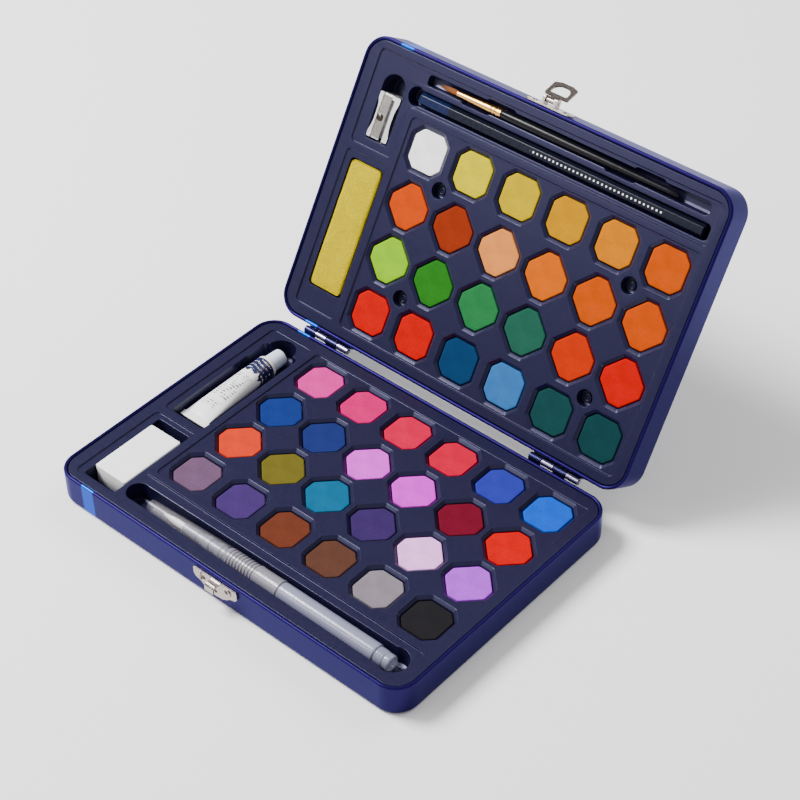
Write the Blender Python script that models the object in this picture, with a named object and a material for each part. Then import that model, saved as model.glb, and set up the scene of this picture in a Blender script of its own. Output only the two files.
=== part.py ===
"""Watercolour pan set: a hinged tin with two trays of paint cakes and its tools.

Run with: blender --background --python part.py

Lengths are in metres and +Z is up. The base lies on the table and the lid stands
open behind it. Each half of the tin has its own frame: x runs along the hinge,
y across the tin and z from the outer panel up to the rim. The base half's +y edge
carries the hinges, and the lid half's +y edge is the free edge with the latch.
"""

import math

import bmesh
import bpy
from mathutils import Matrix, Vector
from mathutils.geometry import tessellate_polygon

MM = 0.001

# Tin
TIN_LENGTH = 235.0 * MM
TIN_WIDTH = 162.0 * MM
BASE_HEIGHT = 18.2 * MM
LID_HEIGHT = 18.8 * MM
CORNER_RADIUS = 13.0 * MM
SHEET = 0.6 * MM
BEAD_RADIUS = 1.0 * MM
FLOOR_FILLET = 2.0 * MM
GAP = 0.3 * MM

HALF_LENGTH = TIN_LENGTH / 2
HALF_WIDTH = TIN_WIDTH / 2

# Hinges
OPEN_ANGLE = math.radians(121.5)
AXIS_OFFSET = 2.4 * MM
AXIS_RISE = 0.2 * MM
HINGE_SPREAD = 78.5 * MM
HINGE_LENGTH = 31.5 * MM
KNUCKLES = 4
KNUCKLE_RADIUS = 1.9 * MM
KNUCKLE_BORE = 1.05 * MM
HINGE_PIN_RADIUS = 0.75 * MM
LEAF_HEIGHT = 9.0 * MM

# Trays
TRAY_SHEET = 0.6 * MM
TRAY_INSET = 2.0 * BEAD_RADIUS + GAP
BORDER_DROP = 0.7 * MM
PANEL_DROP = 1.5 * MM
PANEL_DRAFT = 0.5 * MM
WELL_DRAFT = 0.4 * MM
FIELD_SIZE = (185.2 * MM, 121.4 * MM)
FIELD_X = 17.2 * MM
BASE_FIELD_Y = 11.8 * MM
LID_FIELD_Y = -12.9 * MM

# Paint cakes: octagons with unequal sides
PITCH = 30.85 * MM
COLUMNS = 6
ROWS = 4
CAKE_FLATS = 21.8 * MM
CAKE_DIAGONAL_FLATS = 24.5 * MM
CAKE_THICKNESS = 4.2 * MM
BASE_CAKE_DROP = 3.1 * MM
LID_CAKE_DROP = 2.8 * MM
WELL_MARGIN_TOP = 1.5 * MM
WELL_MARGIN_LOW = 0.5 * MM
CARRIER_THICKNESS = 1.2 * MM
CARRIER_HALF_WIDTH = 13.2 * MM

# Latch, seen from the front wall it is fixed to
LATCH_SHEET = 0.8 * MM
LATCH_PIN_OUT = 3.9 * MM
LATCH_PIN_BELOW_RIM = 2.6 * MM
LATCH_PIN_RADIUS = 0.55 * MM
HASP_KNUCKLE_RADIUS = 1.45 * MM
HASP_KNUCKLE_BORE = 0.85 * MM
HASP_SWING = math.radians(139.0)
HOOK_HALF_WIDTH = 3.0 * MM

ARC_STEPS = 3
ROUND = 20

BASE_FRAME = Matrix.Identity(4)
HINGE_Y = HALF_WIDTH + AXIS_OFFSET
HINGE_Z = BASE_HEIGHT + AXIS_RISE
LID_AXIS = Vector((0, -HINGE_Y, LID_HEIGHT + AXIS_RISE))
LID_FRAME = (
    Matrix.Translation((0, HINGE_Y, HINGE_Z))
    @ Matrix.Rotation(math.pi - OPEN_ANGLE, 4, "X")
    @ Matrix.Translation(-LID_AXIS)
)


# ---------------------------------------------------------------- outlines

def at(x_mm, from_edge_mm):
    """A point given from the tin's left edge and from the half's +y edge, in millimetres."""
    return Vector((x_mm * MM - HALF_LENGTH, HALF_WIDTH - from_edge_mm * MM))


def arc(centre, radius, start, end, steps=ARC_STEPS):
    """Points on an arc, ends included, with angles in radians."""
    points = []
    for i in range(steps + 1):
        angle = start + (end - start) * i / steps
        points.append(centre + Vector((math.cos(angle), math.sin(angle))) * radius)
    return points


def circle(centre, radius, steps=ROUND):
    return arc(centre, radius, 0, 2 * math.pi, steps)[:-1]


def filleted(corners, steps=ARC_STEPS):
    """A counter-clockwise outline through (point, radius) corners, each rounded."""
    outline = []
    for i, (point, radius) in enumerate(corners):
        if radius == 0:
            outline.append(point.copy())
            continue
        before = (corners[i - 1][0] - point).normalized()
        after = (corners[(i + 1) % len(corners)][0] - point).normalized()
        half = before.angle(after) / 2
        centre = point + (before + after).normalized() * radius / math.sin(half)
        reach = radius / math.tan(half)
        start = point + before * reach - centre
        end = point + after * reach - centre
        turn = start.angle_signed(end)
        first = math.atan2(start.y, start.x)
        outline += arc(centre, radius, first, first - turn, steps)
    return outline


def rounded_rectangle(low, high, radius, steps=ARC_STEPS):
    corners = [
        (Vector((low.x, low.y)), radius),
        (Vector((high.x, low.y)), radius),
        (Vector((high.x, high.y)), radius),
        (Vector((low.x, high.y)), radius),
    ]
    return filleted(corners, steps)


def box_outline(left, right, near, far, radius):
    """A rounded rectangle from edge distances in millimetres; near and far are from +y."""
    low = at(left, far)
    high = at(right, near)
    return rounded_rectangle(low, high, radius * MM)


def inset(outline, distance):
    """Move every side of a counter-clockwise outline inwards."""
    moved = []
    for i, point in enumerate(outline):
        into = (point - outline[i - 1]).normalized()
        out = (outline[(i + 1) % len(outline)] - point).normalized()
        normal_in = Vector((-into.y, into.x))
        normal_out = Vector((-out.y, out.x))
        share = distance / (1 + normal_in.dot(normal_out))
        moved.append(point + (normal_in + normal_out) * share)
    return moved


def octagon(centre, margin, turned):
    """A cake's outline grown by a margin; turned ones have their long sides at 45 degrees."""
    flats = CAKE_FLATS / 2 + margin
    diagonal = CAKE_DIAGONAL_FLATS / 2 + margin
    short = math.sqrt(2) * diagonal - flats
    spin = Matrix.Rotation(math.pi / 4 if turned else 0, 2)
    points = []
    for quarter in range(4):
        turn = Matrix.Rotation(quarter * math.pi / 2, 2)
        points.append(centre + spin @ turn @ Vector((flats, -short)))
        points.append(centre + spin @ turn @ Vector((flats, short)))
    return points


# ---------------------------------------------------------------- mesh tools

def ring(bm, outline, z):
    return [bm.verts.new((p.x, p.y, z)) for p in outline]


def bridge(bm, first, second, flip=False):
    """Quads between two rings with the same number of points."""
    count = len(first)
    for i in range(count):
        j = (i + 1) % count
        face = [first[i], first[j], second[j], second[i]]
        bm.faces.new(reversed(face) if flip else face)


def fill(bm, outer, holes=(), up=True):
    """Fill a flat ring, leaving its holes open, with faces turned up or down."""
    rings = [outer] + list(holes)
    verts = [v for one in rings for v in one]
    loops = [[v.co for v in one] for one in rings]
    for a, b, c in tessellate_polygon(loops):
        corners = [verts[a], verts[b], verts[c]]
        normal = (corners[1].co - corners[0].co).cross(corners[2].co - corners[0].co)
        if (normal.z > 0) != up:
            corners.reverse()
        bm.faces.new(corners)


def cap(bm, loop):
    bm.faces.new(loop)


def finish(bm, name, frame=BASE_FRAME, origin=(0, 0, 0), smooth=False):
    """Turn a bmesh in a half's frame into an object whose origin is the given point."""
    origin = Vector(origin)
    bmesh.ops.recalc_face_normals(bm, faces=bm.faces)
    bmesh.ops.translate(bm, verts=bm.verts, vec=-origin)
    mesh = bpy.data.meshes.new(name)
    bm.to_mesh(mesh)
    bm.free()
    for polygon in mesh.polygons:
        polygon.use_smooth = smooth
    obj = bpy.data.objects.new(name, mesh)
    bpy.context.scene.collection.objects.link(obj)
    obj.matrix_world = frame @ Matrix.Translation(origin)
    return obj


def prism(bm, outline, low, high, to_3d):
    """Extrude an outline between two levels; to_3d maps (u, v, level) to a point."""
    first = [bm.verts.new(to_3d(p.x, p.y, low)) for p in outline]
    second = [bm.verts.new(to_3d(p.x, p.y, high)) for p in outline]
    bridge(bm, first, second)
    cap(bm, list(reversed(first)))
    cap(bm, second)


def upright(u, v, level):
    return Vector((u, v, level))


def along_x(u, v, level):
    return Vector((level, u, v))


def along_y(u, v, level):
    return Vector((u, level, v))


def turned(bm, profile, place, steps=ROUND, closed=False):
    """Turn (distance, radius) points about an axis; place maps (distance, a, b) to a point.

    A closed profile makes a tube. An open one is capped at both ends.
    """
    rings = []
    for distance, radius in profile:
        loop = []
        for i in range(steps):
            angle = 2 * math.pi * i / steps
            loop.append(bm.verts.new(place(distance, radius * math.cos(angle), radius * math.sin(angle))))
        rings.append(loop)
    for i in range(len(rings) - 1):
        bridge(bm, rings[i], rings[i + 1])
    if closed:
        bridge(bm, rings[-1], rings[0])
    else:
        cap(bm, list(reversed(rings[0])))
        cap(bm, rings[-1])


def x_axis_through(y, z):
    return lambda distance, a, b: Vector((distance, y + a, z + b))


def material(obj, name, colour, metallic=0.0, roughness=0.5):
    made = bpy.data.materials.new(name)
    made.use_nodes = True
    shader = made.node_tree.nodes["Principled BSDF"]
    shader.inputs["Base Color"].default_value = (*colour, 1)
    shader.inputs["Metallic"].default_value = metallic
    shader.inputs["Roughness"].default_value = roughness
    obj.data.materials.append(made)
    return obj


def combine(obj, other, operation):
    """Join or cut with another object, which stays as a hidden tool."""
    other.hide_render = True
    other.display_type = "WIRE"
    modifier = obj.modifiers.new(operation.title(), "BOOLEAN")
    modifier.operation = operation
    modifier.solver = "EXACT"
    modifier.object = other


def soften(obj, width, segments):
    modifier = obj.modifiers.new("Bevel", "BEVEL")
    modifier.width = width
    modifier.segments = segments
    modifier.limit_method = "ANGLE"


# ---------------------------------------------------------------- tin

def wall_profile(height):
    """The tin's wall as (inset, z), from under the floor, round the rim and back inside."""
    points = []
    for i in range(3):
        angle = math.pi / 2 * i / 2
        points.append((FLOOR_FILLET * (1 - math.sin(angle)), FLOOR_FILLET * (1 - math.cos(angle))))
    bead_z = height - BEAD_RADIUS
    for i in range(7):
        angle = math.pi - math.radians(240) * i / 6
        points.append((BEAD_RADIUS * (1 + math.cos(angle)), bead_z + BEAD_RADIUS * math.sin(angle)))
    points.append((SHEET, bead_z - BEAD_RADIUS))
    inner = FLOOR_FILLET - SHEET
    for i in range(3):
        angle = math.pi / 2 * i / 2
        x = SHEET + inner * (1 - math.cos(angle))
        z = SHEET + inner * (1 - math.sin(angle))
        points.append((x, z))
    return points


def tin_outline(distance):
    low = Vector((-HALF_LENGTH + distance, -HALF_WIDTH + distance))
    return rounded_rectangle(low, -low, CORNER_RADIUS - distance, 8)


def make_shell(name, height, frame):
    bm = bmesh.new()
    rings = [ring(bm, tin_outline(x), z) for x, z in wall_profile(height)]
    for i in range(len(rings) - 1):
        bridge(bm, rings[i], rings[i + 1])
    cap(bm, list(reversed(rings[0])))
    cap(bm, rings[-1])
    obj = finish(bm, name, frame, LID_AXIS if frame is LID_FRAME else (0, 0, 0))
    return material(obj, name + "_paint", (0.035, 0.03, 0.2), 0.6, 0.35)


# ---------------------------------------------------------------- trays

def bar_outline(left, right, middle, half_left, half_right, end_left, end_right=None, corner=2.5):
    """A long slot with a round recess at its left end and a round or square right end.

    All arguments are in millimetres, as for at().
    """
    a = at(left, middle)
    b = at(right, middle)
    half_a, half_b = half_left * MM, half_right * MM
    spread_a = math.asin(min(1.0, half_left / end_left))
    outline = arc(a, end_left * MM, spread_a, 2 * math.pi - spread_a, 8)
    if end_right is None:
        fillet = corner * MM
        down = b + Vector((-fillet, fillet - half_b))
        up = b + Vector((-fillet, half_b - fillet))
        outline += arc(down, fillet, -math.pi / 2, 0)
        outline += arc(up, fillet, 0, math.pi / 2)
    else:
        spread_b = math.asin(min(1.0, half_right / end_right))
        outline += arc(b, end_right * MM, spread_b - math.pi, math.pi - spread_b, 8)
    return outline


def tube_well_outline():
    """The tube's box-shaped well with a round finger recess at its cap end."""
    recess = at(24.3, 18.8)
    radius = 8.4 * MM
    low = at(13.2, 91)
    high = at(36.8, 18.8)
    corner = 2.4 * MM
    outline = arc(Vector((low.x + corner, low.y + corner)), corner, math.pi, 1.5 * math.pi)
    outline += arc(Vector((high.x - corner, low.y + corner)), corner, -math.pi / 2, 0)
    outline += arc(Vector((high.x - corner, high.y - corner)), corner, 0, math.pi / 2)
    outline += arc(recess, radius, 0, math.pi, 8)
    outline += arc(Vector((low.x + corner, high.y - corner)), corner, math.pi / 2, math.pi)
    return outline


def brush_slot_outline():
    """A narrow slot with two pairs of staggered finger notches."""
    notch = 1.0
    corners = [(at(43.7, 15.3), 2 * MM)]
    for start, end in ((67, 86), (160, 179)):
        corners += [(at(start, 15.5), 0), (at(start + 1.5, 15.5 + notch), 0)]
        corners += [(at(end - 1.5, 15.5 + notch), 0), (at(end, 15.5), 0)]
    corners += [(at(222.3, 15.8), 2.6 * MM), (at(222.3, 8.7), 2.6 * MM)]
    for start, end in ((176, 195), (82, 101)):
        corners += [(at(end, 9.0), 0), (at(end - 1.5, 9.0 - notch), 0)]
        corners += [(at(start + 1.5, 9.0 - notch), 0), (at(start, 9.0), 0)]
    corners.append((at(43.7, 9.3), 2 * MM))
    return filleted(corners)


def ell_outline(points, radius):
    return filleted([(at(*p), radius * MM) for p in points])


def sharpener_well_outline():
    low = at(17.1, 54.4)
    high = at(32.1, 16.8)
    corners = [
        (low, 1.5 * MM),
        (Vector((high.x, low.y)), 1.5 * MM),
        (high, 7.4 * MM),
        (Vector((low.x, high.y)), 7.4 * MM),
    ]
    return filleted(corners, 8)


def field_outline(field_y):
    half = Vector(FIELD_SIZE) / 2
    centre = Vector((FIELD_X, field_y))
    return rounded_rectangle(centre - half, centre + half, 3 * MM)


def cake_centre(field_y, row, column):
    """Row 0 is the row nearest the half's +y edge."""
    x = FIELD_X + (column - (COLUMNS - 1) / 2) * PITCH
    y = field_y + ((ROWS - 1) / 2 - row) * PITCH
    return Vector((x, y))


def is_turned(row):
    return row in (1, 2)


def sink_well(bm, outline, top_z, floor_z, hole=None):
    """A well with sloping walls. Returns its ring at the top, to leave open in the panel."""
    top = ring(bm, outline, top_z)
    low = ring(bm, inset(outline, WELL_DRAFT), floor_z)
    bridge(bm, top, low)
    holes = [ring(bm, hole, floor_z)] if hole else []
    fill(bm, low, holes)
    return top


def sink_cake_wells(bm, field_y, panel_z, foot_z):
    """Open-bottomed octagonal wells; their walls narrow towards the cakes."""
    tops = []
    for row in range(ROWS):
        for column in range(COLUMNS):
            centre = cake_centre(field_y, row, column)
            top = ring(bm, octagon(centre, WELL_MARGIN_TOP, is_turned(row)), panel_z)
            low = ring(bm, octagon(centre, WELL_MARGIN_LOW, is_turned(row)), foot_z)
            bridge(bm, top, low)
            tops.append(top)
    return tops


def sink_panel(bm, outline, border_z, panel_z):
    """A shallow step down from the border. Returns its upper and lower rings."""
    upper = ring(bm, outline, border_z)
    lower = ring(bm, inset(outline, PANEL_DRAFT), panel_z)
    bridge(bm, upper, lower)
    return upper, lower


def make_tray(name, height, frame, field_y, cake_drop, panels, recesses):
    """Form one thin tray: border, sunk panels, their wells, and a skirt down to the floor."""
    bm = bmesh.new()
    border_z = height - BORDER_DROP
    panel_z = height - PANEL_DROP
    skirt = ring(bm, tin_outline(TRAY_INSET), SHEET + GAP)
    shoulder = ring(bm, tin_outline(TRAY_INSET), border_z - 0.8 * MM)
    round_over = ring(bm, tin_outline(TRAY_INSET + 0.25 * MM), border_z - 0.25 * MM)
    border = ring(bm, tin_outline(TRAY_INSET + 0.8 * MM), border_z)
    bridge(bm, skirt, shoulder)
    bridge(bm, shoulder, round_over)
    bridge(bm, round_over, border)

    openings = []
    for outline, wells in panels:
        upper, lower = sink_panel(bm, outline, border_z, panel_z)
        tops = [sink_well(bm, well, panel_z, height - drop) for well, drop in wells]
        fill(bm, lower, tops)
        openings.append(upper)

    upper, lower = sink_panel(bm, field_outline(field_y), border_z, panel_z)
    tops = sink_cake_wells(bm, field_y, panel_z, height - cake_drop - CAKE_THICKNESS)
    for centre in recesses:
        hole = circle(centre, FIXING_SHANK + GAP, 10)
        tops.append(sink_well(bm, circle(centre, 4.5 * MM, 14), panel_z, height - RECESS_DROP, hole))
    fill(bm, lower, tops)
    openings.append(upper)
    fill(bm, border, openings)

    obj = finish(bm, name, frame, LID_AXIS if frame is LID_FRAME else (0, 0, 0))
    faces_up = obj.data.polygons[-1].normal.z > 0
    solidify = obj.modifiers.new("Sheet", "SOLIDIFY")
    solidify.thickness = TRAY_SHEET
    solidify.offset = -1 if faces_up else 1
    solidify.use_flip_normals = not faces_up
    solidify.use_even_offset = True
    return material(obj, name + "_plastic", (0.05, 0.05, 0.13), 0.0, 0.6)


RECESS_DROP = 6.4 * MM
FIXING_HEAD = 2.3 * MM
FIXING_SHANK = 1.3 * MM

TUBE_WELL_DROP = 14.0
ERASER_WELL_DROP = 13.6
WATER_BRUSH_WELL_DROP = 12.2
SHARPENER_WELL_DROP = 12.6
SPONGE_WELL_DROP = 12.0
BRUSH_WELL_DROP = 6.4
PENCIL_WELL_DROP = 8.6


def base_panels():
    tube_panel = box_outline(9.2, 38.6, 8.3, 92.4, 3)
    tool_panel = ell_outline(
        [(9.2, 155.2), (227, 155.2), (227, 133.4), (38.6, 133.4), (38.6, 96.6), (9.2, 96.6)], 3
    )
    eraser_well = box_outline(13.8, 36.2, 100.2, 153.4, 1.5)
    water_brush_well = bar_outline(45.4, 216.8, 145.2, 6.1, 7.1, 6.3, 8.0)
    return [
        (tube_panel, [(tube_well_outline(), TUBE_WELL_DROP * MM)]),
        (tool_panel, [
            (eraser_well, ERASER_WELL_DROP * MM),
            (water_brush_well, WATER_BRUSH_WELL_DROP * MM),
        ]),
    ]


def lid_panels():
    sponge_panel = box_outline(9.2, 37.9, 63.2, 153.6, 3)
    tool_panel = ell_outline(
        [(9.2, 59.4), (37.9, 59.4), (37.9, 29.7), (228, 29.7), (228.6, 6.7), (9.2, 6.7)], 3
    )
    sponge_well = box_outline(13.2, 36.4, 67.2, 141.4, 2.5)
    pencil_well = bar_outline(40, 226.1, 23, 4.4, 4.4, 5.3)
    return [
        (sponge_panel, [(sponge_well, SPONGE_WELL_DROP * MM)]),
        (tool_panel, [
            (sharpener_well_outline(), SHARPENER_WELL_DROP * MM),
            (brush_slot_outline(), BRUSH_WELL_DROP * MM),
            (pencil_well, PENCIL_WELL_DROP * MM),
        ]),
    ]


def fixing_centres():
    """The middles of the lid field's four corner blocks of four cakes."""
    centres = []
    for row in (0, ROWS - 2):
        for column in (0, COLUMNS - 2):
            near = cake_centre(LID_FIELD_Y, row, column)
            far = cake_centre(LID_FIELD_Y, row + 1, column + 1)
            centres.append((near + far) / 2)
    return centres


def make_fixings():
    """Four press-in rivets that hold the lid's tray up against the lid."""
    head_low = LID_HEIGHT - RECESS_DROP + GAP
    for number, centre in enumerate(fixing_centres(), 1):
        bm = bmesh.new()
        profile = [
            (SHEET + GAP, FIXING_SHANK),
            (head_low, FIXING_SHANK),
            (head_low, FIXING_HEAD),
            (head_low + 1.0 * MM, FIXING_HEAD),
            (head_low + 1.6 * MM, FIXING_HEAD * 0.6),
        ]
        turned(bm, profile, lambda d, a, b: Vector((centre.x + a, centre.y + b, d)), 12)
        name = f"lid_tray_rivet_{number}"
        obj = finish(bm, name, LID_FRAME, (centre.x, centre.y, head_low))
        material(obj, name + "_plastic", (0.02, 0.025, 0.07), 0.0, 0.3)


# ---------------------------------------------------------------- paint

ROW_COLOURS = {
    "base": [(0.9, 0.1, 0.3), (0.03, 0.1, 0.5), (0.4, 0.2, 0.3), (0.2, 0.12, 0.1)],
    "lid": [(0.9, 0.7, 0.1), (0.8, 0.3, 0.1), (0.15, 0.45, 0.1), (0.7, 0.05, 0.05)],
}


def make_paint_row(half, row, frame, field_y, cake_z):
    """Six cakes standing on one carrier strip, which lies under the tray's open wells."""
    bm = bmesh.new()
    carrier_top = cake_z - CAKE_THICKNESS - GAP
    first = cake_centre(field_y, row, 0)
    last = cake_centre(field_y, row, COLUMNS - 1)
    margin = Vector((CARRIER_HALF_WIDTH, CARRIER_HALF_WIDTH))
    outline = rounded_rectangle(first - margin, last + margin, 4 * MM, 2)
    under = ring(bm, outline, carrier_top - CARRIER_THICKNESS)
    over = ring(bm, outline, carrier_top)
    bridge(bm, under, over)
    fill(bm, under, up=False)
    feet = []
    for column in range(COLUMNS):
        centre = cake_centre(field_y, row, column)
        foot = ring(bm, octagon(centre, 0, is_turned(row)), carrier_top)
        top = ring(bm, octagon(centre, 0, is_turned(row)), cake_z)
        bridge(bm, foot, top)
        fill(bm, top)
        feet.append(foot)
    fill(bm, over, feet)
    name = f"{half}_paint_row_{row + 1}"
    obj = finish(bm, name, frame, (first.x, first.y, cake_z))
    material(obj, name + "_cake", ROW_COLOURS[half][row], 0.0, 0.9)


# ---------------------------------------------------------------- hinges

def curl_path(side):
    """The leaf's curl as (y, z) from the axis, out over the pin and back inside it.

    side is -1 where the leaf's plate lies towards -y of the axis.
    """
    path = [Vector((side * KNUCKLE_RADIUS, 0))]
    outer, inner = [], []
    for i in range(1, 11):
        angle = math.radians(300) * i / 10
        direction = Vector((side * math.cos(angle), math.sin(angle)))
        outer.append(direction * KNUCKLE_RADIUS)
        inner.append(direction * KNUCKLE_BORE)
    path += outer + list(reversed(inner))
    path.append(Vector((side * KNUCKLE_BORE, 0)))
    return path


def make_leaf(name, centre_x, axis, side, knuckles, frame):
    """A hinge leaf: a plate along the tin's wall with some of the knuckles curled from it."""
    bm = bmesh.new()
    top = -(KNUCKLE_RADIUS + 0.4 * MM)
    section = [(side * KNUCKLE_RADIUS, -LEAF_HEIGHT), (side * KNUCKLE_RADIUS, top)]
    section += [(side * KNUCKLE_BORE, top), (side * KNUCKLE_BORE, -LEAF_HEIGHT)]
    curl = curl_path(side)
    step = HINGE_LENGTH / KNUCKLES
    start = centre_x - HINGE_LENGTH / 2
    stations = []
    for i in range(KNUCKLES):
        stations += [start + i * step + GAP / 2, start + (i + 1) * step - GAP / 2]

    def verts_at(x, points):
        return [bm.verts.new((x, axis.y + y, axis.z + z)) for y, z in points]

    plates = [verts_at(x, section) for x in stations]
    for i in range(len(plates) - 1):
        a, b = plates[i], plates[i + 1]
        bm.faces.new([a[0], a[1], b[1], b[0]])
        bm.faces.new([a[2], a[3], b[3], b[2]])
        bm.faces.new([a[3], a[0], b[0], b[3]])
        if i % 2 or i // 2 not in knuckles:
            bm.faces.new([a[1], a[2], b[2], b[1]])
            continue
        left = [a[1]] + verts_at(stations[i], curl) + [a[2]]
        right = [b[1]] + verts_at(stations[i + 1], curl) + [b[2]]
        for j in range(len(left) - 1):
            bm.faces.new([left[j], left[j + 1], right[j + 1], right[j]])
        bm.faces.new(left)
        bm.faces.new(list(reversed(right)))
    bm.faces.new(list(reversed(plates[0])))
    bm.faces.new(plates[-1])
    obj = finish(bm, name, frame, (centre_x, axis.y, axis.z))
    material(obj, name + "_metal", (0.03, 0.03, 0.15), 0.8, 0.3)


def make_pin(name, centre_x, half_length, axis, radius, frame):
    bm = bmesh.new()
    profile = [(centre_x - half_length, radius), (centre_x + half_length, radius)]
    turned(bm, profile, x_axis_through(axis.y, axis.z), 24)
    obj = finish(bm, name, frame, (centre_x, axis.y, axis.z))
    material(obj, name + "_steel", (0.5, 0.5, 0.52), 1.0, 0.25)


def make_hinges():
    base_axis = Vector((0, HINGE_Y, HINGE_Z))
    for side, label in ((-1, "left"), (1, "right")):
        x = side * HINGE_SPREAD
        make_leaf(f"{label}_hinge_base_leaf", x, base_axis, -1, (0, 2), BASE_FRAME)
        make_leaf(f"{label}_hinge_lid_leaf", x, LID_AXIS, 1, (1, 3), LID_FRAME)
        make_pin(f"{label}_hinge_pin", x, HINGE_LENGTH / 2, base_axis, HINGE_PIN_RADIUS, BASE_FRAME)


# ---------------------------------------------------------------- latch

def make_catch():
    """The base's catch plate, with a raised hook for the hasp's window."""
    half = [(0, 4.9), (4.5, 5.5), (7.5, 7.0), (10.0, 9.0), (13.2, 9.9), (14.7, 11.6), (14.7, 16.2)]
    points = half[1:] + [(-x, z) for x, z in reversed(half[1:])] + [half[0]]
    corners = [(Vector((x, z)) * MM, 0.6 * MM) for x, z in points]
    bm = bmesh.new()
    wall = -HALF_WIDTH
    prism(bm, filleted(corners, 3), wall - GAP, wall - GAP - LATCH_SHEET, along_y)
    plate = finish(bm, "latch_catch_plate", origin=(0, wall, 10 * MM))

    bm = bmesh.new()
    profile = [(0.7, 14.6), (3.6, 15.2), (5.4, 14.2), (5.4, 10.9), (4.7, 10.9), (4.7, 11.4), (0.7, 11.4)]
    outline = [Vector((wall - y * MM, z * MM)) for y, z in profile]
    prism(bm, outline, -HOOK_HALF_WIDTH, HOOK_HALF_WIDTH, along_x)
    hook = finish(bm, "latch_hook_tool", origin=(0, wall, 10 * MM))
    combine(plate, hook, "UNION")
    material(plate, "latch_catch_plate_steel", (0.75, 0.74, 0.72), 1.0, 0.2)


def latch_axis():
    return Vector((0, HALF_WIDTH + LATCH_PIN_OUT, LID_HEIGHT - LATCH_PIN_BELOW_RIM))


def make_latch_plate():
    """The lid's latch plate with two cheeks that carry the hasp's pin."""
    wall = HALF_WIDTH + GAP
    axis = latch_axis()
    low = Vector((-14.2 * MM, LID_HEIGHT - 6.8 * MM))
    high = Vector((14.2 * MM, LID_HEIGHT - 0.4 * MM))
    bm = bmesh.new()
    prism(bm, rounded_rectangle(low, high, 1.6 * MM), wall, wall + LATCH_SHEET, along_y)
    plate = finish(bm, "latch_lid_plate", LID_FRAME, axis)
    for side, label in ((-1, "left"), (1, "right")):
        bm = bmesh.new()
        reach = axis.y + 1.5 * MM
        low = Vector((wall + 0.3 * MM, axis.z - 2.0 * MM))
        high = Vector((reach, axis.z + 2.0 * MM))
        edges = sorted((side * 2.75 * MM, side * 3.55 * MM))
        prism(bm, rounded_rectangle(low, high, 0.6 * MM, 3), edges[0], edges[1], along_x)
        combine(plate, finish(bm, f"latch_cheek_tool_{label}", LID_FRAME, axis), "UNION")
    bm = bmesh.new()
    bore = LATCH_PIN_RADIUS + GAP
    turned(bm, [(-5 * MM, bore), (5 * MM, bore)], x_axis_through(axis.y, axis.z), 24)
    combine(plate, finish(bm, "latch_bore_tool", LID_FRAME, axis), "DIFFERENCE")
    material(plate, "latch_lid_plate_steel", (0.75, 0.74, 0.72), 1.0, 0.2)


def hasp_outline():
    """The hasp's plate from its neck to its far end, as (x, distance from the pin)."""
    half = [(2.4, 1.1, 0), (2.4, 3.2, 0), (7.4, 3.4, 1.0), (7.4, 12.6, 0.8), (3.6, 14.0, 1.2)]
    right = [(Vector((x, d)) * MM, r * MM) for x, d, r in half]
    left = [(Vector((-x, d)) * MM, r * MM) for x, d, r in reversed(half)]
    return filleted(right + left, 4)


def hasp_window():
    """The D-shaped window that drops over the hook."""
    corners = [((-5.2, 5.4), 0.8), ((5.2, 5.4), 0.8), ((5.2, 11.6), 4.2), ((-5.2, 11.6), 4.2)]
    return filleted([(Vector(p) * MM, r * MM) for p, r in corners], 6)


def make_hasp():
    """The hasp, swung open past the lid's edge, with its knuckle round the pin."""
    axis = latch_axis()
    swing = Matrix.Rotation(-HASP_SWING, 4, "X")
    frame = LID_FRAME @ Matrix.Translation(axis) @ swing
    bm = bmesh.new()
    half = LATCH_SHEET / 2
    plate_rings = []
    window_rings = []
    for level in (-half, half):
        plate_rings.append([bm.verts.new((p.x, level, p.y)) for p in hasp_outline()])
        window_rings.append([bm.verts.new((p.x, level, p.y)) for p in hasp_window()])
    for rings in (plate_rings, window_rings):
        bridge(bm, rings[0], rings[1])
    for outer, hole in zip(plate_rings, window_rings):
        loops = [[(v.co.x, v.co.z) for v in outer], [(v.co.x, v.co.z) for v in hole]]
        verts = outer + hole
        for triangle in tessellate_polygon(loops):
            bm.faces.new([verts[i] for i in triangle])
    hasp = finish(bm, "latch_hasp", frame)
    bm = bmesh.new()
    width = 2.4 * MM
    profile = [(-width, HASP_KNUCKLE_RADIUS), (width, HASP_KNUCKLE_RADIUS)]
    profile += [(width, HASP_KNUCKLE_BORE), (-width, HASP_KNUCKLE_BORE)]
    turned(bm, profile, x_axis_through(0, 0), 24, closed=True)
    combine(hasp, finish(bm, "latch_knuckle_tool", frame), "UNION")
    material(hasp, "latch_hasp_steel", (0.62, 0.6, 0.58), 1.0, 0.25)


# ---------------------------------------------------------------- things in the base

TUBE_X = 23.3
TUBE_DROP = 6.9
TUBE_SHOULDER_RADIUS = 6.5
WATER_BRUSH_Y = 144.8
WATER_BRUSH_DROP = 6.1


def along_tube(x_mm):
    """Map (distance from the half's +y edge, a, b) about the tube's axis to a point."""
    centre = at(x_mm, 0)
    z = BASE_HEIGHT - TUBE_DROP * MM
    return lambda distance, a, b: Vector((centre.x + a, HALF_WIDTH - distance, z + b))


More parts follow.
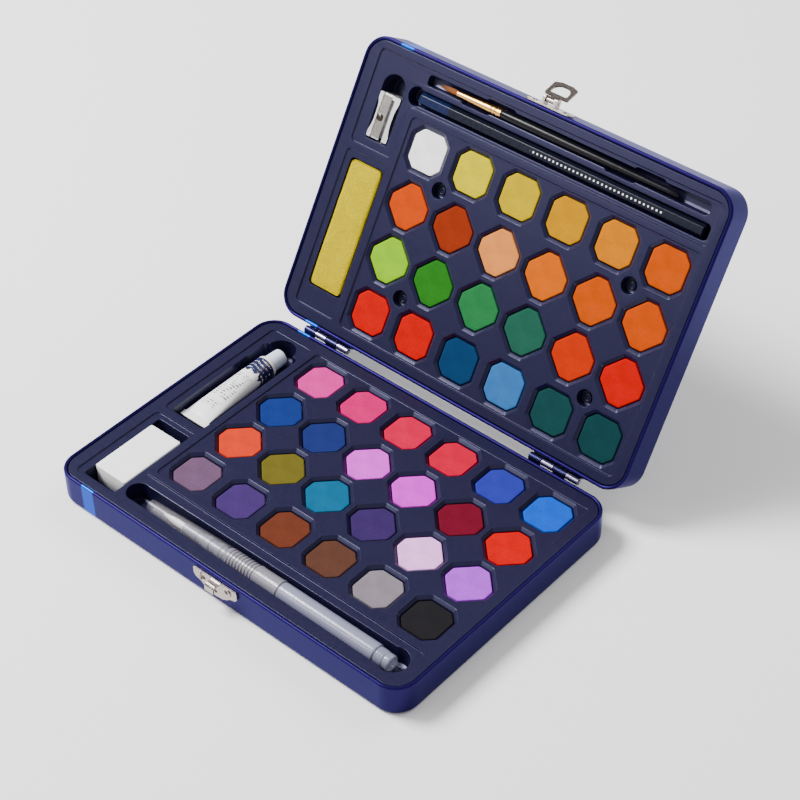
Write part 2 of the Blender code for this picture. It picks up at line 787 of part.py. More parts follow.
def make_paint_tube():
    """A soft metal tube, round at its shoulder and pressed flat at its crimped end."""
    place = along_tube(TUBE_X)
    bm = bmesh.new()
    radius = TUBE_SHOULDER_RADIUS
    levels = [(24.5, 2.6, 2.6), (28.0, 2.6, 2.6), (28.0, 5.6, 5.6), (29.0, radius, radius)]
    levels += [(36, radius, radius), (48, 7.0, 5.9), (60, 7.6, 4.8), (72, 8.3, 3.1)]
    levels += [(80, 8.9, 1.6), (82.5, 9.2, 0.7), (86.2, 9.2, 0.7)]
    rings = []
    for distance, wide, high in levels:
        loop = []
        for i in range(ROUND):
            angle = 2 * math.pi * i / ROUND
            a, b = wide * MM * math.cos(angle), high * MM * math.sin(angle)
            loop.append(bm.verts.new(place(distance * MM, a, b)))
        rings.append(loop)
    for i in range(len(rings) - 1):
        bridge(bm, rings[i], rings[i + 1])
    cap(bm, list(reversed(rings[0])))
    cap(bm, rings[-1])
    obj = finish(bm, "paint_tube_body", origin=place(57 * MM, 0, 0))
    material(obj, "paint_tube_body_foil", (0.85, 0.85, 0.86), 0.2, 0.35)

    bm = bmesh.new()
    profile = [(16.0, 4.3), (16.5, 4.8), (27.7, 5.2), (27.7, 2.9), (24.1, 2.9)]
    turned(bm, [(d * MM, r * MM) for d, r in profile], place)
    obj = finish(bm, "paint_tube_cap", origin=place(22 * MM, 0, 0))
    material(obj, "paint_tube_cap_plastic", (0.8, 0.8, 0.8), 0.0, 0.4)


def make_eraser():
    low, high = at(14.2, 146), at(35.8, 106)
    top = BASE_HEIGHT - 1.0 * MM
    bm = bmesh.new()
    prism(bm, rounded_rectangle(low, high, 0.8 * MM, 3), top - 12.2 * MM, top, upright)
    middle = (low + high) / 2
    obj = finish(bm, "eraser", origin=(middle.x, middle.y, top - 6.1 * MM))
    soften(obj, 0.6 * MM, 2)
    material(obj, "eraser_vinyl", (0.85, 0.84, 0.84), 0.0, 0.7)


def make_water_brush():
    """A refillable brush: cap, tuft, tuft holder, ribbed grip, reservoir and end plug."""
    line = at(0, WATER_BRUSH_Y)
    z = BASE_HEIGHT - WATER_BRUSH_DROP * MM
    place = x_axis_through(line.y, z)

    def turn(name, profile, colour, roughness, closed=False):
        bm = bmesh.new()
        points = [(at(x, 0).x, r * MM) for x, r in profile]
        turned(bm, points, place, ROUND, closed)
        middle = (points[0][0] + points[-1][0]) / 2
        obj = finish(bm, "water_brush_" + name, origin=(middle, line.y, z))
        material(obj, f"water_brush_{name}_plastic", colour, 0.0, roughness)

    cap_profile = [(53, 2.6), (53.6, 3.2), (80, 4.3), (108, 5.0)]
    cap_profile += [(108, 4.2), (80, 3.5), (56, 2.4)]
    turn("cap", cap_profile, (0.75, 0.78, 0.8), 0.15)
    turn("tuft", [(63.5, 0.2), (66, 0.9), (70, 1.7), (76, 1.9), (84, 1.2)], (0.9, 0.9, 0.9), 0.8)
    holder = [(78, 2.5), (88, 3.0), (88, 2.7), (91, 2.8), (91, 3.2), (112, 3.6), (112, 1.6), (78, 2.2)]
    turn("tuft_holder", holder, (0.7, 0.72, 0.75), 0.3, closed=True)
    grip = [(108.4, 3.95), (108.4, 5.0), (127.5, 5.1), (128.5, 5.6), (144.6, 5.6)]
    grip += [(144.6, 4.1), (124, 4.1), (124, 3.95)]
    turn("grip", grip, (0.75, 0.76, 0.8), 0.35, closed=True)
    reservoir = [(124.4, 3.8), (145.2, 3.8), (145.2, 5.5), (206, 5.5), (206.6, 4.9), (206.6, 4.0)]
    reservoir += [(146, 4.0), (144, 2.8), (124.4, 2.8)]
    turn("reservoir", reservoir, (0.6, 0.64, 0.7), 0.4, closed=True)
    plug = [(199, 3.0), (200, 3.7), (206.9, 3.7), (206.9, 4.6), (212, 4.5), (215.4, 5.0), (216, 4.7)]
    turn("end_plug", plug, (0.7, 0.73, 0.76), 0.3)


# ---------------------------------------------------------------- things in the lid

def make_sponge():
    low, high = at(13.9, 140.7), at(35.8, 67.9)
    top = LID_HEIGHT - 0.9 * MM
    bottom = top - 10.4 * MM
    bm = bmesh.new()
    prism(bm, rounded_rectangle(low, high, 2.2 * MM), bottom, top, upright)
    middle = (low + high) / 2
    obj = finish(bm, "sponge", LID_FRAME, (middle.x, middle.y, (bottom + top) / 2))
    soften(obj, 1.0 * MM, 2)
    material(obj, "sponge_foam", (0.85, 0.7, 0.1), 0.0, 0.95)


def make_sharpener():
    """A waisted metal wedge sharpener with a screwed blade over its conical hole."""
    centre = at(24.6, 40.6)
    top = LID_HEIGHT - 1.2 * MM
    bottom = top - 10.4 * MM
    x, y = 7.0, 12.6
    side = [(-x, -y, 0.5), (-x, -8.5, 0), (-x + 1.2, -3, 3), (-x + 1.2, 3, 3), (-x, 8.5, 0), (-x, y, 0.5)]
    left = [(centre + Vector((px, py)) * MM, r * MM) for px, py, r in reversed(side)]
    right = [(centre + Vector((-px, py)) * MM, r * MM) for px, py, r in side]
    bm = bmesh.new()
    prism(bm, filleted(left + right, 4), bottom, top, upright)
    body = finish(bm, "sharpener_body", LID_FRAME, (centre.x, centre.y, (top + bottom) / 2))

    def from_centre(distance, a, b):
        return Vector((centre.x + 0.6 * MM + a, centre.y + distance, top - 4.9 * MM + b))

    bm = bmesh.new()
    turned(bm, [(-14 * MM, 4.2 * MM), (9 * MM, 0.9 * MM), (14 * MM, 0.9 * MM)], from_centre)
    combine(body, finish(bm, "sharpener_cone_tool", LID_FRAME), "DIFFERENCE")
    bm = bmesh.new()
    slot_low = centre + Vector((0.9, -13.5)) * MM
    slot_high = centre + Vector((3.3, 10.4)) * MM
    prism(bm, rounded_rectangle(slot_low, slot_high, 0.4 * MM, 2), top - 4.6 * MM, top + 1 * MM, upright)
    combine(body, finish(bm, "sharpener_slot_tool", LID_FRAME), "DIFFERENCE")
    bm = bmesh.new()
    seat_low = centre + Vector((-4.6, -13.5)) * MM
    seat_high = centre + Vector((2.0, 13.5)) * MM
    prism(bm, rounded_rectangle(seat_low, seat_high, 0.3 * MM, 2), top - 0.9 * MM, top + 1 * MM, upright)
    combine(body, finish(bm, "sharpener_seat_tool", LID_FRAME), "DIFFERENCE")
    screw = centre + Vector((-2.3, -1.0)) * MM
    bm = bmesh.new()
    turned(bm, [(top - 5.4 * MM, 1.0 * MM), (top + 1 * MM, 1.0 * MM)],
           lambda d, a, b: Vector((screw.x + a, screw.y + b, d)), 20)
    combine(body, finish(bm, "sharpener_screw_tool", LID_FRAME), "DIFFERENCE")
    material(body, "sharpener_body_metal", (0.8, 0.8, 0.8), 1.0, 0.35)

    low = centre + Vector((-4.3, -11.8)) * MM
    high = centre + Vector((1.5, 11.9)) * MM
    bm = bmesh.new()
    outer = rounded_rectangle(low, high, 0.3 * MM, 2)
    hole = circle(screw, 1.0 * MM, 20)
    rings = []
    for z in (top - 0.6 * MM, top - 0.1 * MM):
        rings.append((ring(bm, outer, z), ring(bm, hole, z)))
    for i in range(2):
        bridge(bm, rings[0][i], rings[1][i])
    fill(bm, rings[0][0], [rings[0][1]], up=False)
    fill(bm, rings[1][0], [rings[1][1]])
    blade = finish(bm, "sharpener_blade", LID_FRAME, (centre.x, centre.y, top))
    material(blade, "sharpener_blade_steel", (0.6, 0.58, 0.56), 1.0, 0.2)

    bm = bmesh.new()
    profile = [(top - 5.0 * MM, 0.7 * MM), (top + 0.2 * MM, 0.7 * MM), (top + 0.2 * MM, 1.7 * MM)]
    profile += [(top + 0.5 * MM, 1.7 * MM), (top + 0.8 * MM, 1.2 * MM)]
    turned(bm, profile, lambda d, a, b: Vector((screw.x + a, screw.y + b, d)), 20)
    obj = finish(bm, "sharpener_screw", LID_FRAME, (screw.x, screw.y, top))
    material(obj, "sharpener_screw_steel", (0.5, 0.48, 0.46), 1.0, 0.3)


BRUSH_Y = 12.6
BRUSH_DROP = 3.2
PENCIL_Y = 23.1
PENCIL_DROP = 4.4
PENCIL_FLATS = 7.0


def lid_line(from_edge, drop):
    y = at(0, from_edge).y
    z = LID_HEIGHT - drop * MM
    return Vector((0, y, z)), x_axis_through(y, z)


def make_paint_brush():
    line, place = lid_line(BRUSH_Y, BRUSH_DROP)
    pieces = {
        "tuft": ([(50, 0.15), (53, 0.6), (58, 1.15), (62.5, 1.15), (68, 0.75)], (0.55, 0.25, 0.08), 0.0, False),
        "ferrule": (
            [(62.8, 1.5), (63.2, 1.55), (92, 1.95), (92.4, 1.9), (92.4, 1.55), (62.8, 1.2)],
            (0.8, 0.65, 0.4), 1.0, True,
        ),
        "handle": (
            [(78, 0.9), (92.8, 1.2), (92.8, 2.0), (104, 2.4), (116, 2.5), (150, 2.0), (196, 1.3), (202.5, 1.1), (203.6, 0.6)],
            (0.01, 0.01, 0.012), 0.0, False,
        ),
    }
    for label, (profile, colour, metallic, closed) in pieces.items():
        bm = bmesh.new()
        points = [(at(x, 0).x, r * MM) for x, r in profile]
        turned(bm, points, place, 20, closed)
        middle = (points[0][0] + points[-1][0]) / 2
        obj = finish(bm, "paint_brush_" + label, LID_FRAME, (middle, line.y, line.z))
        material(obj, f"paint_brush_{label}_finish", colour, metallic, 0.3)


def make_pencil():
    """A six-sided pencil with a dipped end at the left and its lead bare at the right."""
    line, place = lid_line(PENCIL_Y, PENCIL_DROP)
    corner = PENCIL_FLATS / 2 / math.cos(math.pi / 6)
    bm = bmesh.new()
    profile = [(42.0, corner * 0.8), (42.6, corner), (222.6, corner), (222.6, 1.35), (60, 1.35)]
    points = [(at(x, 0).x, r * MM) for x, r in profile]
    turned(bm, points, place, 6)
    barrel = finish(bm, "pencil_barrel", LID_FRAME, (points[0][0], line.y, line.z))
    material(barrel, "pencil_barrel_lacquer", (0.01, 0.012, 0.04), 0.0, 0.3)
    bm = bmesh.new()
    points = [(at(x, 0).x, r * MM) for x, r in [(60.3, 1.0), (222.6, 1.0)]]
    turned(bm, points, place, 16)
    lead = finish(bm, "pencil_lead", LID_FRAME, (points[0][0], line.y, line.z))
    material(lead, "pencil_lead_graphite", (0.05, 0.05, 0.055), 0.0, 0.4)


# ---------------------------------------------------------------- build

def clear_scene():
    for obj in list(bpy.data.objects):
        bpy.data.objects.remove(obj, do_unlink=True)


def main():
    clear_scene()
    make_shell("base_shell", BASE_HEIGHT, BASE_FRAME)
    make_shell("lid_shell", LID_HEIGHT, LID_FRAME)
    make_tray("base_tray", BASE_HEIGHT, BASE_FRAME, BASE_FIELD_Y, BASE_CAKE_DROP, base_panels(), [])
    make_tray("lid_tray", LID_HEIGHT, LID_FRAME, LID_FIELD_Y, LID_CAKE_DROP, lid_panels(), fixing_centres())
    for row in range(ROWS):
        make_paint_row("base", row, BASE_FRAME, BASE_FIELD_Y, BASE_HEIGHT - BASE_CAKE_DROP)
        make_paint_row("lid", row, LID_FRAME, LID_FIELD_Y, LID_HEIGHT - LID_CAKE_DROP)
    make_fixings()
    make_hinges()
    make_catch()
    make_latch_plate()
    make_hasp()
    make_pin("latch_pin", 0, 4.2 * MM, latch_axis(), LATCH_PIN_RADIUS, LID_FRAME)
    make_paint_tube()
    make_eraser()
    make_water_brush()
    make_sponge()
    make_sharpener()
    make_paint_brush()
    make_pencil()


main()
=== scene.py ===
"""Watercolour pan set: the finished look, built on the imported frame."""

import math
import random

import bmesh
import bpy
from mathutils import Matrix, Vector, noise
from mathutils.geometry import tessellate_polygon


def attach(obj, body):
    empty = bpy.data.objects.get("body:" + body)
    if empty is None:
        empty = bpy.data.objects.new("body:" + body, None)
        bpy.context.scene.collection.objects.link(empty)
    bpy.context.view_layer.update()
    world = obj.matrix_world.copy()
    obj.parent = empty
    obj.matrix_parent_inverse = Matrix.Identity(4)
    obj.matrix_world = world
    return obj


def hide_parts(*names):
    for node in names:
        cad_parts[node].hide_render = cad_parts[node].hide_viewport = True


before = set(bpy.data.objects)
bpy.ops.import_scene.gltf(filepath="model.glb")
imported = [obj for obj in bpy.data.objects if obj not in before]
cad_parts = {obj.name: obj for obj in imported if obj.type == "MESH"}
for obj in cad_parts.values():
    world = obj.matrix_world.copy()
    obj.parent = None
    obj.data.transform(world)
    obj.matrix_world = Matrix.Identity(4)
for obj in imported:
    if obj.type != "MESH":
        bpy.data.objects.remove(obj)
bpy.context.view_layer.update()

MM = 0.001

# The tin and the frames of its two halves, as in the CAD
HALF_LENGTH = 117.5 * MM
HALF_WIDTH = 81.0 * MM
BASE_HEIGHT = 18.2 * MM
LID_HEIGHT = 18.8 * MM
CORNER_RADIUS = 13.0 * MM
SHEET = 0.6 * MM
BEAD = 1.0 * MM
FLOOR_FILLET = 2.0 * MM
OPEN_ANGLE = math.radians(121.5)
AXIS = Vector((0, HALF_WIDTH + 2.4 * MM, BASE_HEIGHT + 0.2 * MM))
LID_AXIS = Vector((0, -HALF_WIDTH - 2.4 * MM, LID_HEIGHT + 0.2 * MM))
BASE = Matrix.Identity(4)
LID = Matrix.Translation(AXIS) @ Matrix.Rotation(math.pi - OPEN_ANGLE, 4, "X") @ Matrix.Translation(-LID_AXIS)
HINGE_SPREAD = 78.5 * MM
HINGE_LENGTH = 31.5 * MM
LATCH_AXIS = Vector((0, HALF_WIDTH + 3.9 * MM, LID_HEIGHT - 2.6 * MM))
HASP_ANGLE = math.radians(139)

# The trays and their cakes, as in the CAD; a drop is measured down from the rim

BORDER_DROP = 0.7 * MM
PANEL_DROP = 1.5 * MM
FIELD_X = 17.2 * MM
BASE_FIELD_Y = 11.8 * MM
LID_FIELD_Y = -12.9 * MM
PITCH = 30.85 * MM
CAKE_FLATS = 21.8 * MM
CAKE_DIAGONAL_FLATS = 24.5 * MM
CAKE_CORNER_RADIUS = 2.1 * MM
BASE_CAKE_DROP = 3.1 * MM
LID_CAKE_DROP = 2.8 * MM
WELL_FLOOR_DROP = 6.9 * MM
RIVET_DROP = 6.2 * MM

# How strongly a white surface that faces up is lit
LIGHT = 2.4

HALVES = {
    "base": (BASE, BASE_HEIGHT, BASE_FIELD_Y, BASE_CAKE_DROP),
    "lid": (LID, LID_HEIGHT, LID_FIELD_Y, LID_CAKE_DROP),
}


# ---------------------------------------------------------------- shader tools

def srgb(r, g, b):
    """Linear colour from display values out of 255."""
    def linear(v):
        v /= 255
        return v / 12.92 if v <= 0.04045 else ((v + 0.055) / 1.055) ** 2.4
    return (linear(r), linear(g), linear(b), 1.0)


def pigment(r, g, b):
    """Diffuse colour that shows as the given display colour once lit and toned down by the view."""
    shown = [min(v / 255, 0.87) for v in (r, g, b)]
    light = [0.2 * v ** 1.19 / (1 - v) ** 1.31 for v in shown]
    mean = sum(light) / 3
    light = [max(0.001, mean + (v - mean) * 1.15) for v in light]
    top = 1.05 + 1.2 * (min(r, g, b) / max(r, g, b)) ** 2
    shrink = min(1, top / max(light))
    return tuple(v * shrink / LIGHT for v in light) + (1.0,)


class Shader:
    """A small helper that wires a procedural material."""

    def __init__(self, name, colour, roughness=0.5, metallic=0.0):
        self.mat = bpy.data.materials.new(name)
        self.mat.use_nodes = True
        self.nodes = self.mat.node_tree.nodes
        self.links = self.mat.node_tree.links
        self.bsdf = self.nodes["Principled BSDF"]
        self.bsdf.inputs["Base Color"].default_value = colour
        self.bsdf.inputs["Roughness"].default_value = roughness
        self.bsdf.inputs["Metallic"].default_value = metallic
        self.colour = colour
        self.coords = self.node("ShaderNodeTexCoord").outputs["Object"]

    def node(self, kind, **values):
        made = self.nodes.new(kind)
        for key, value in values.items():
            setattr(made, key, value)
        return made

    def feed(self, socket, value):
        if isinstance(value, bpy.types.NodeSocket):
            self.links.new(value, socket)
        else:
            socket.default_value = value

    def math(self, operation, a, b=0.0):
        made = self.node("ShaderNodeMath", operation=operation)
        self.feed(made.inputs[0], a)
        self.feed(made.inputs[1], b)
        return made.outputs[0]

    def plus(self, a, b):
        return self.math("ADD", a, b)

    def times(self, first, *others):
        for value in others:
            first = self.math("MULTIPLY", first, value)
        return first

    def stretched(self, scale):
        made = self.node("ShaderNodeMapping")
        made.inputs["Scale"].default_value = scale
        self.links.new(self.coords, made.inputs["Vector"])
        return made.outputs[0]

    def noise(self, scale, detail=3.0, vector=None):
        made = self.node("ShaderNodeTexNoise")
        made.inputs["Scale"].default_value = scale
        made.inputs["Detail"].default_value = detail
        made.inputs["Roughness"].default_value = 0.55
        self.links.new(vector or self.coords, made.inputs["Vector"])
        return made.outputs["Fac"]

    def cells(self, scale):
        made = self.node("ShaderNodeTexVoronoi")
        made.inputs["Scale"].default_value = scale
        self.links.new(self.coords, made.inputs["Vector"])
        return made.outputs["Distance"]

    def ramp(self, value, low, high, out_low=0.0, out_high=1.0):
        made = self.node("ShaderNodeMapRange")
        made.inputs["From Min"].default_value = low
        made.inputs["From Max"].default_value = high
        made.inputs["To Min"].default_value = out_low
        made.inputs["To Max"].default_value = out_high
        self.links.new(value, made.inputs["Value"])
        return made.outputs["Result"]

    def mix(self, factor, a, b):
        made = self.node("ShaderNodeMix", data_type="RGBA")
        self.feed(made.inputs[0], factor)
        self.feed(made.inputs[6], a)
        self.feed(made.inputs[7], b)
        return made.outputs[2]

    def axes(self):
        made = self.node("ShaderNodeSeparateXYZ")
        self.links.new(self.coords, made.inputs[0])
        return made.outputs

    def band(self, value, low, high, soft=0.00015):
        """1 between two values, with soft edges."""
        rise = self.ramp(value, low - soft, low + soft)
        fall = self.ramp(value, high - soft, high + soft, 1.0, 0.0)
        return self.times(rise, fall)

    def paint(self, value):
        self.links.new(value, self.bsdf.inputs["Base Color"])

    def vary(self, factor, amount):
        """Lighter and darker versions of the base colour by a factor."""
        dark = tuple(c * (1 - amount) for c in self.colour[:3]) + (1,)
        light = tuple(min(1, c * (1 + amount)) for c in self.colour[:3]) + (1,)
        return self.mix(factor, dark, light)

    def rough(self, value, low, high):
        self.links.new(self.ramp(value, 0.3, 0.7, low, high), self.bsdf.inputs["Roughness"])

    def bump(self, value, strength, distance):
        made = self.node("ShaderNodeBump")
        made.inputs["Strength"].default_value = strength
        made.inputs["Distance"].default_value = distance
        self.links.new(value, made.inputs["Height"])
        if self.bsdf.inputs["Normal"].is_linked:
            self.links.new(self.bsdf.inputs["Normal"].links[0].from_socket, made.inputs["Normal"])
        self.links.new(made.outputs[0], self.bsdf.inputs["Normal"])

    def set(self, **values):
        for key, value in values.items():
            self.bsdf.inputs[key.replace("_", " ")].default_value = value
        return self


def tin_paint():
    """Deep blue-violet enamel with a pale blue stripe across the left of the tin."""
    s = Shader("tin_enamel", pigment(40, 26, 100), 0.34, 0.45)
    x = s.axes()[0]
    stripe = s.band(x, -96.5 * MM, -88.0 * MM)
    mottled = s.vary(s.noise(60, 4), 0.08)
    s.paint(s.mix(stripe, mottled, pigment(10, 172, 255)))
    s.rough(s.noise(220, 4), 0.32, 0.36)
    s.bump(s.noise(1400, 2), 0.06, 0.0001)
    s.set(Specular_IOR_Level=0.22, Specular_Tint=(0.3, 0.27, 1, 1))
    return s.mat


def tray_plastic():
    s = Shader("tray_plastic", pigment(30, 28, 66), 0.38)
    s.paint(s.vary(s.noise(90, 5), 0.07))
    s.rough(s.noise(400, 3), 0.28, 0.36)
    s.bump(s.noise(2600, 3), 0.1, 0.00005)
    s.bump(s.noise(45, 2), 0.08, 0.0006)
    s.set(Specular_IOR_Level=0.45, Specular_Tint=(0.66, 0.66, 1, 1))
    return s.mat


def cake_paint(name, rgb):
    """Pressed, slightly chalky pigment."""
    s = Shader(name, pigment(*rgb), 0.9)
    grain = s.noise(1400, 4)
    cloud = s.noise(110, 4)
    s.paint(s.vary(s.ramp(s.plus(grain, cloud), 0.7, 1.3), 0.16))
    s.rough(cloud, 0.82, 0.95)
    s.bump(grain, 0.35, 0.00012)
    s.bump(s.noise(260, 3), 0.25, 0.00025)
    s.set(Specular_IOR_Level=0.02)
    return s.mat


def metal(name, rgb, roughness, scale=(60, 60, 60), metallic=1.0):
    """Metal with fine directional scratches and slight clouding."""
    s = Shader(name, srgb(*rgb), roughness, metallic)
    scratch = s.noise(25, 4, s.stretched(scale))
    s.paint(s.vary(s.noise(300, 3), 0.08))
    s.rough(scratch, max(0.05, roughness - 0.07), roughness + 0.1)
    s.bump(scratch, 0.03, 0.00002)
    return s


def plastic(name, rgb, roughness=0.35, grain=900, alpha=1.0):
    """Moulded plastic or vinyl, see-through where alpha is below 1."""
    s = Shader(name, pigment(*rgb), roughness)
    s.paint(s.vary(s.noise(120, 4), 0.05))
    s.rough(s.noise(500, 3), max(0.04, roughness - 0.06), roughness + 0.06)
    s.bump(s.noise(grain, 2), 0.05, 0.00005)
    s.set(IOR=1.46, Alpha=alpha, Specular_IOR_Level=0.5 if alpha == 1 else 0.8)
    return s


# ---------------------------------------------------------------- outlines

def at(x_mm, from_edge_mm):
    """A point of a half by its distances in mm from the -x end and the +y edge."""
    return Vector((x_mm * MM - HALF_LENGTH, HALF_WIDTH - from_edge_mm * MM))


def scaled(profile):
    """A profile of (distance along the half, radius) in mm as world lengths."""
    return [(at(x, 0).x, r * MM) for x, r in profile]


def arc(centre, radius, start, end, steps):
    angles = [start + (end - start) * i / steps for i in range(steps + 1)]
    return [centre + Vector((math.cos(a), math.sin(a))) * radius for a in angles]


def circle(centre, radius, steps=40):
    return arc(centre, radius, 0, 2 * math.pi, steps)[:-1]


def filleted(corners, steps=8):
    """An outline through (corner, radius) pairs with each corner rounded."""
    outline = []
    for i, (point, radius) in enumerate(corners):
        if radius == 0:
            outline.append(point.copy())
            continue
        before = (corners[i - 1][0] - point).normalized()
        after = (corners[(i + 1) % len(corners)][0] - point).normalized()
        half = before.angle(after) / 2
        centre = point + (before + after).normalized() * radius / math.sin(half)
        reach = radius / math.tan(half)
        start = point + before * reach - centre
        end = point + after * reach - centre
        turn = start.angle_signed(end)
        first = math.atan2(start.y, start.x)
        outline += arc(centre, radius, first, first - turn, steps)
    return outline


def rounded_rectangle(low, high, radius, steps=8):
    corners = [(low.x, low.y), (high.x, low.y), (high.x, high.y), (low.x, high.y)]
    return filleted([(Vector(p), radius) for p in corners], steps)


def box_outline(left, right, near, far, radius):
    return rounded_rectangle(at(left, far), at(right, near), radius * MM)


def inset(outline, distance):
    """An anticlockwise outline moved in by a distance, or out if it is negative."""
    moved = []
    for i, point in enumerate(outline):
        into = (point - outline[i - 1]).normalized()
        out = (outline[(i + 1) % len(outline)] - point).normalized()
        normal_in = Vector((-into.y, into.x))
        normal_out = Vector((-out.y, out.x))
        moved.append(point + (normal_in + normal_out) * distance / (1 + normal_in.dot(normal_out)))
    return moved


def octagon(centre, margin, is_turned):
    """A cake's outline grown by a margin; the long sides face along x and y unless it is turned."""
    flats = CAKE_FLATS / 2 + margin
    short = math.sqrt(2) * (CAKE_DIAGONAL_FLATS / 2 + margin) - flats
    spin = Matrix.Rotation(math.pi / 4 if is_turned else 0, 2)
    corners = []
    for quarter in range(4):
        turn = spin @ Matrix.Rotation(quarter * math.pi / 2, 2)
        corners += [(centre + turn @ Vector((flats, y)), CAKE_CORNER_RADIUS) for y in (-short, short)]
    return filleted(corners, 4)


def bar_outline(left, right, middle, half_left, half_right, end_left, end_right=None):
    """A long slot with a round left end, and a round or a square right end."""
    a, b = at(left, middle), at(right, middle)
    spread_a = math.asin(min(1.0, half_left / end_left))
    outline = arc(a, end_left * MM, spread_a, 2 * math.pi - spread_a, 24)
    if end_right is None:
        fillet, half = 2.5 * MM, half_right * MM
        outline += arc(b + Vector((-fillet, fillet - half)), fillet, -math.pi / 2, 0, 8)
        outline += arc(b + Vector((-fillet, half - fillet)), fillet, 0, math.pi / 2, 8)
    else:
        spread_b = math.asin(min(1.0, half_right / end_right))
        outline += arc(b, end_right * MM, spread_b - math.pi, math.pi - spread_b, 24)
    return outline


def tube_well_outline():
    """A straight slot that opens into a round finger recess at the cap's end."""
    recess = at(24.3, 18.8)
    low, high = at(13.2, 91), at(36.8, 18.8)
    corner = 2.4 * MM
    quarter = math.pi / 2
    outline = arc(Vector((low.x + corner, low.y + corner)), corner, math.pi, 3 * quarter, 8)
    outline += arc(Vector((high.x - corner, low.y + corner)), corner, -quarter, 0, 8)
    outline += arc(Vector((high.x - corner, high.y - corner)), corner, 0, quarter, 8)
    outline += arc(recess, 8.4 * MM, 0, math.pi, 24)
    outline += arc(Vector((low.x + corner, high.y - corner)), corner, quarter, math.pi, 8)
    return outline


def brush_slot_outline():
    """A slot with two shallow finger notches in each long side."""
    soft, end = 0.6 * MM, 2.6 * MM
    corners = [(at(43.7, 15.3), 2 * MM)]
    for start, stop in ((67, 86), (160, 179)):
        notch = ((start, 15.5), (start + 1.5, 16.5), (stop - 1.5, 16.5), (stop, 15.5))
        corners += [(at(*p), soft) for p in notch]
    corners += [(at(222.3, 15.8), end), (at(222.3, 8.7), end)]
    for start, stop in ((176, 195), (82, 101)):
        notch = ((stop, 9.0), (stop - 1.5, 8.0), (start + 1.5, 8.0), (start, 9.0))
        corners += [(at(*p), soft) for p in notch]
    corners.append((at(43.7, 9.3), 2 * MM))
    return filleted(corners)


def ell_outline(points, radius):
    return filleted([(at(*p), radius * MM) for p in points])


def sharpener_well_outline():
    """A box with a wide round end, the finger recess."""
    low, high = at(17.1, 54.4), at(32.1, 16.8)
    square, wide = 1.5 * MM, 7.4 * MM
    corners = [(low, square), (Vector((high.x, low.y)), square)]
    return filleted(corners + [(high, wide), (Vector((low.x, high.y)), wide)], 12)


def cake_centre(field_y, row, column):
    return Vector((FIELD_X + (column - 2.5) * PITCH, field_y + (1.5 - row) * PITCH))


# ---------------------------------------------------------------- mesh tools

def level(outline, z):
    return [(p.x, p.y, z) for p in outline]


def around(steps):
    return [2 * math.pi * i / steps for i in range(steps)]


def bridge(bm, first, second):
    count = len(first)
    for i in range(count):
        j = (i + 1) % count
        bm.faces.new([first[i], first[j], second[j], second[i]])


def loft(bm, rings, ends=True):
    """A skin through rings of points, with flat ends. Returns the rings' vertices."""
    made = [[bm.verts.new(p) for p in points] for points in rings]
    for first, second in zip(made, made[1:]):
        bridge(bm, first, second)
    if ends:
        bm.faces.new(list(reversed(made[0])))
        bm.faces.new(made[-1])
    return made


def fill(bm, outer, holes=()):
    """A flat face inside one ring of vertices and outside others."""
    rings = [outer] + list(holes)
    verts = [v for one in rings for v in one]
    for corners in tessellate_polygon([[v.co for v in one] for one in rings]):
        bm.faces.new([verts[i] for i in corners])


def prism(outline, low, high, to_3d):
    """A new mesh of an outline run from one level to another."""
    bm = bmesh.new()
    loft(bm, [[to_3d(p.x, p.y, height) for p in outline] for height in (low, high)])
    return bm


def along_x(u, v, level):
    return Vector((level, u, v))


def along_y(u, v, level):
    return Vector((u, level, v))


def upright(u, v, level):
    return Vector((u, v, level))


def turned(profile, place, steps=48, closed=False):
    """A new mesh of (distance, radius) points turned about an axis, capped or a closed tube."""
    bm = bmesh.new()
    rings = [[place(d, r * math.cos(a), r * math.sin(a)) for a in around(steps)] for d, r in profile]
    made = loft(bm, rings, not closed)
    if closed:
        bridge(bm, made[-1], made[0])
    return bm


def smoothed(profile, steps=3):
    """Round the corners of an open (distance, radius) profile."""
    out = [profile[0]]
    for before, here, after in zip(profile, profile[1:], profile[2:]):
        p, a, b = Vector(here), Vector(before), Vector(after)
        cut = min((p - a).length, (p - b).length, 0.0006) * 0.45
        start = p + (a - p).normalized() * cut if (a - p).length else p
        end = p + (b - p).normalized() * cut if (b - p).length else p
        for i in range(steps + 1):
            t = i / steps
            out.append(tuple((start * (1 - t) + p * t) * (1 - t) + (p * (1 - t) + end * t) * t))
    out.append(profile[-1])
    return out


def x_axis_through(y, z):
    return lambda distance, a, b: Vector((distance, y + a, z + b))


def z_axis_through(centre):
    return lambda distance, a, b: Vector((centre.x + a, centre.y + b, distance))


def make(bm, name, place, body, nodes, mat, origin=(0, 0, 0)):
    """Finish a mesh drawn in a half's frame as a piece that rides on a body."""
    bmesh.ops.recalc_face_normals(bm, faces=bm.faces)
    origin = Vector(origin)
    bmesh.ops.translate(bm, verts=bm.verts, vec=-origin)
    mesh = bpy.data.meshes.new(name)
    bm.to_mesh(mesh)
    bm.free()
    mesh.polygons.foreach_set("use_smooth", [True] * len(mesh.polygons))
    mesh.set_sharp_from_angle(angle=math.radians(42))
    mesh.materials.append(mat)
    obj = bpy.data.objects.new(name, mesh)
    bpy.context.scene.collection.objects.link(obj)
    obj.matrix_world = place @ Matrix.Translation(origin)
    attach(obj, body)
    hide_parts(*nodes)
    return obj


def weigh_normals(obj):
    modifier = obj.modifiers.new("Normals", "WEIGHTED_NORMAL")
    modifier.weight = 100
    modifier.keep_sharp = True


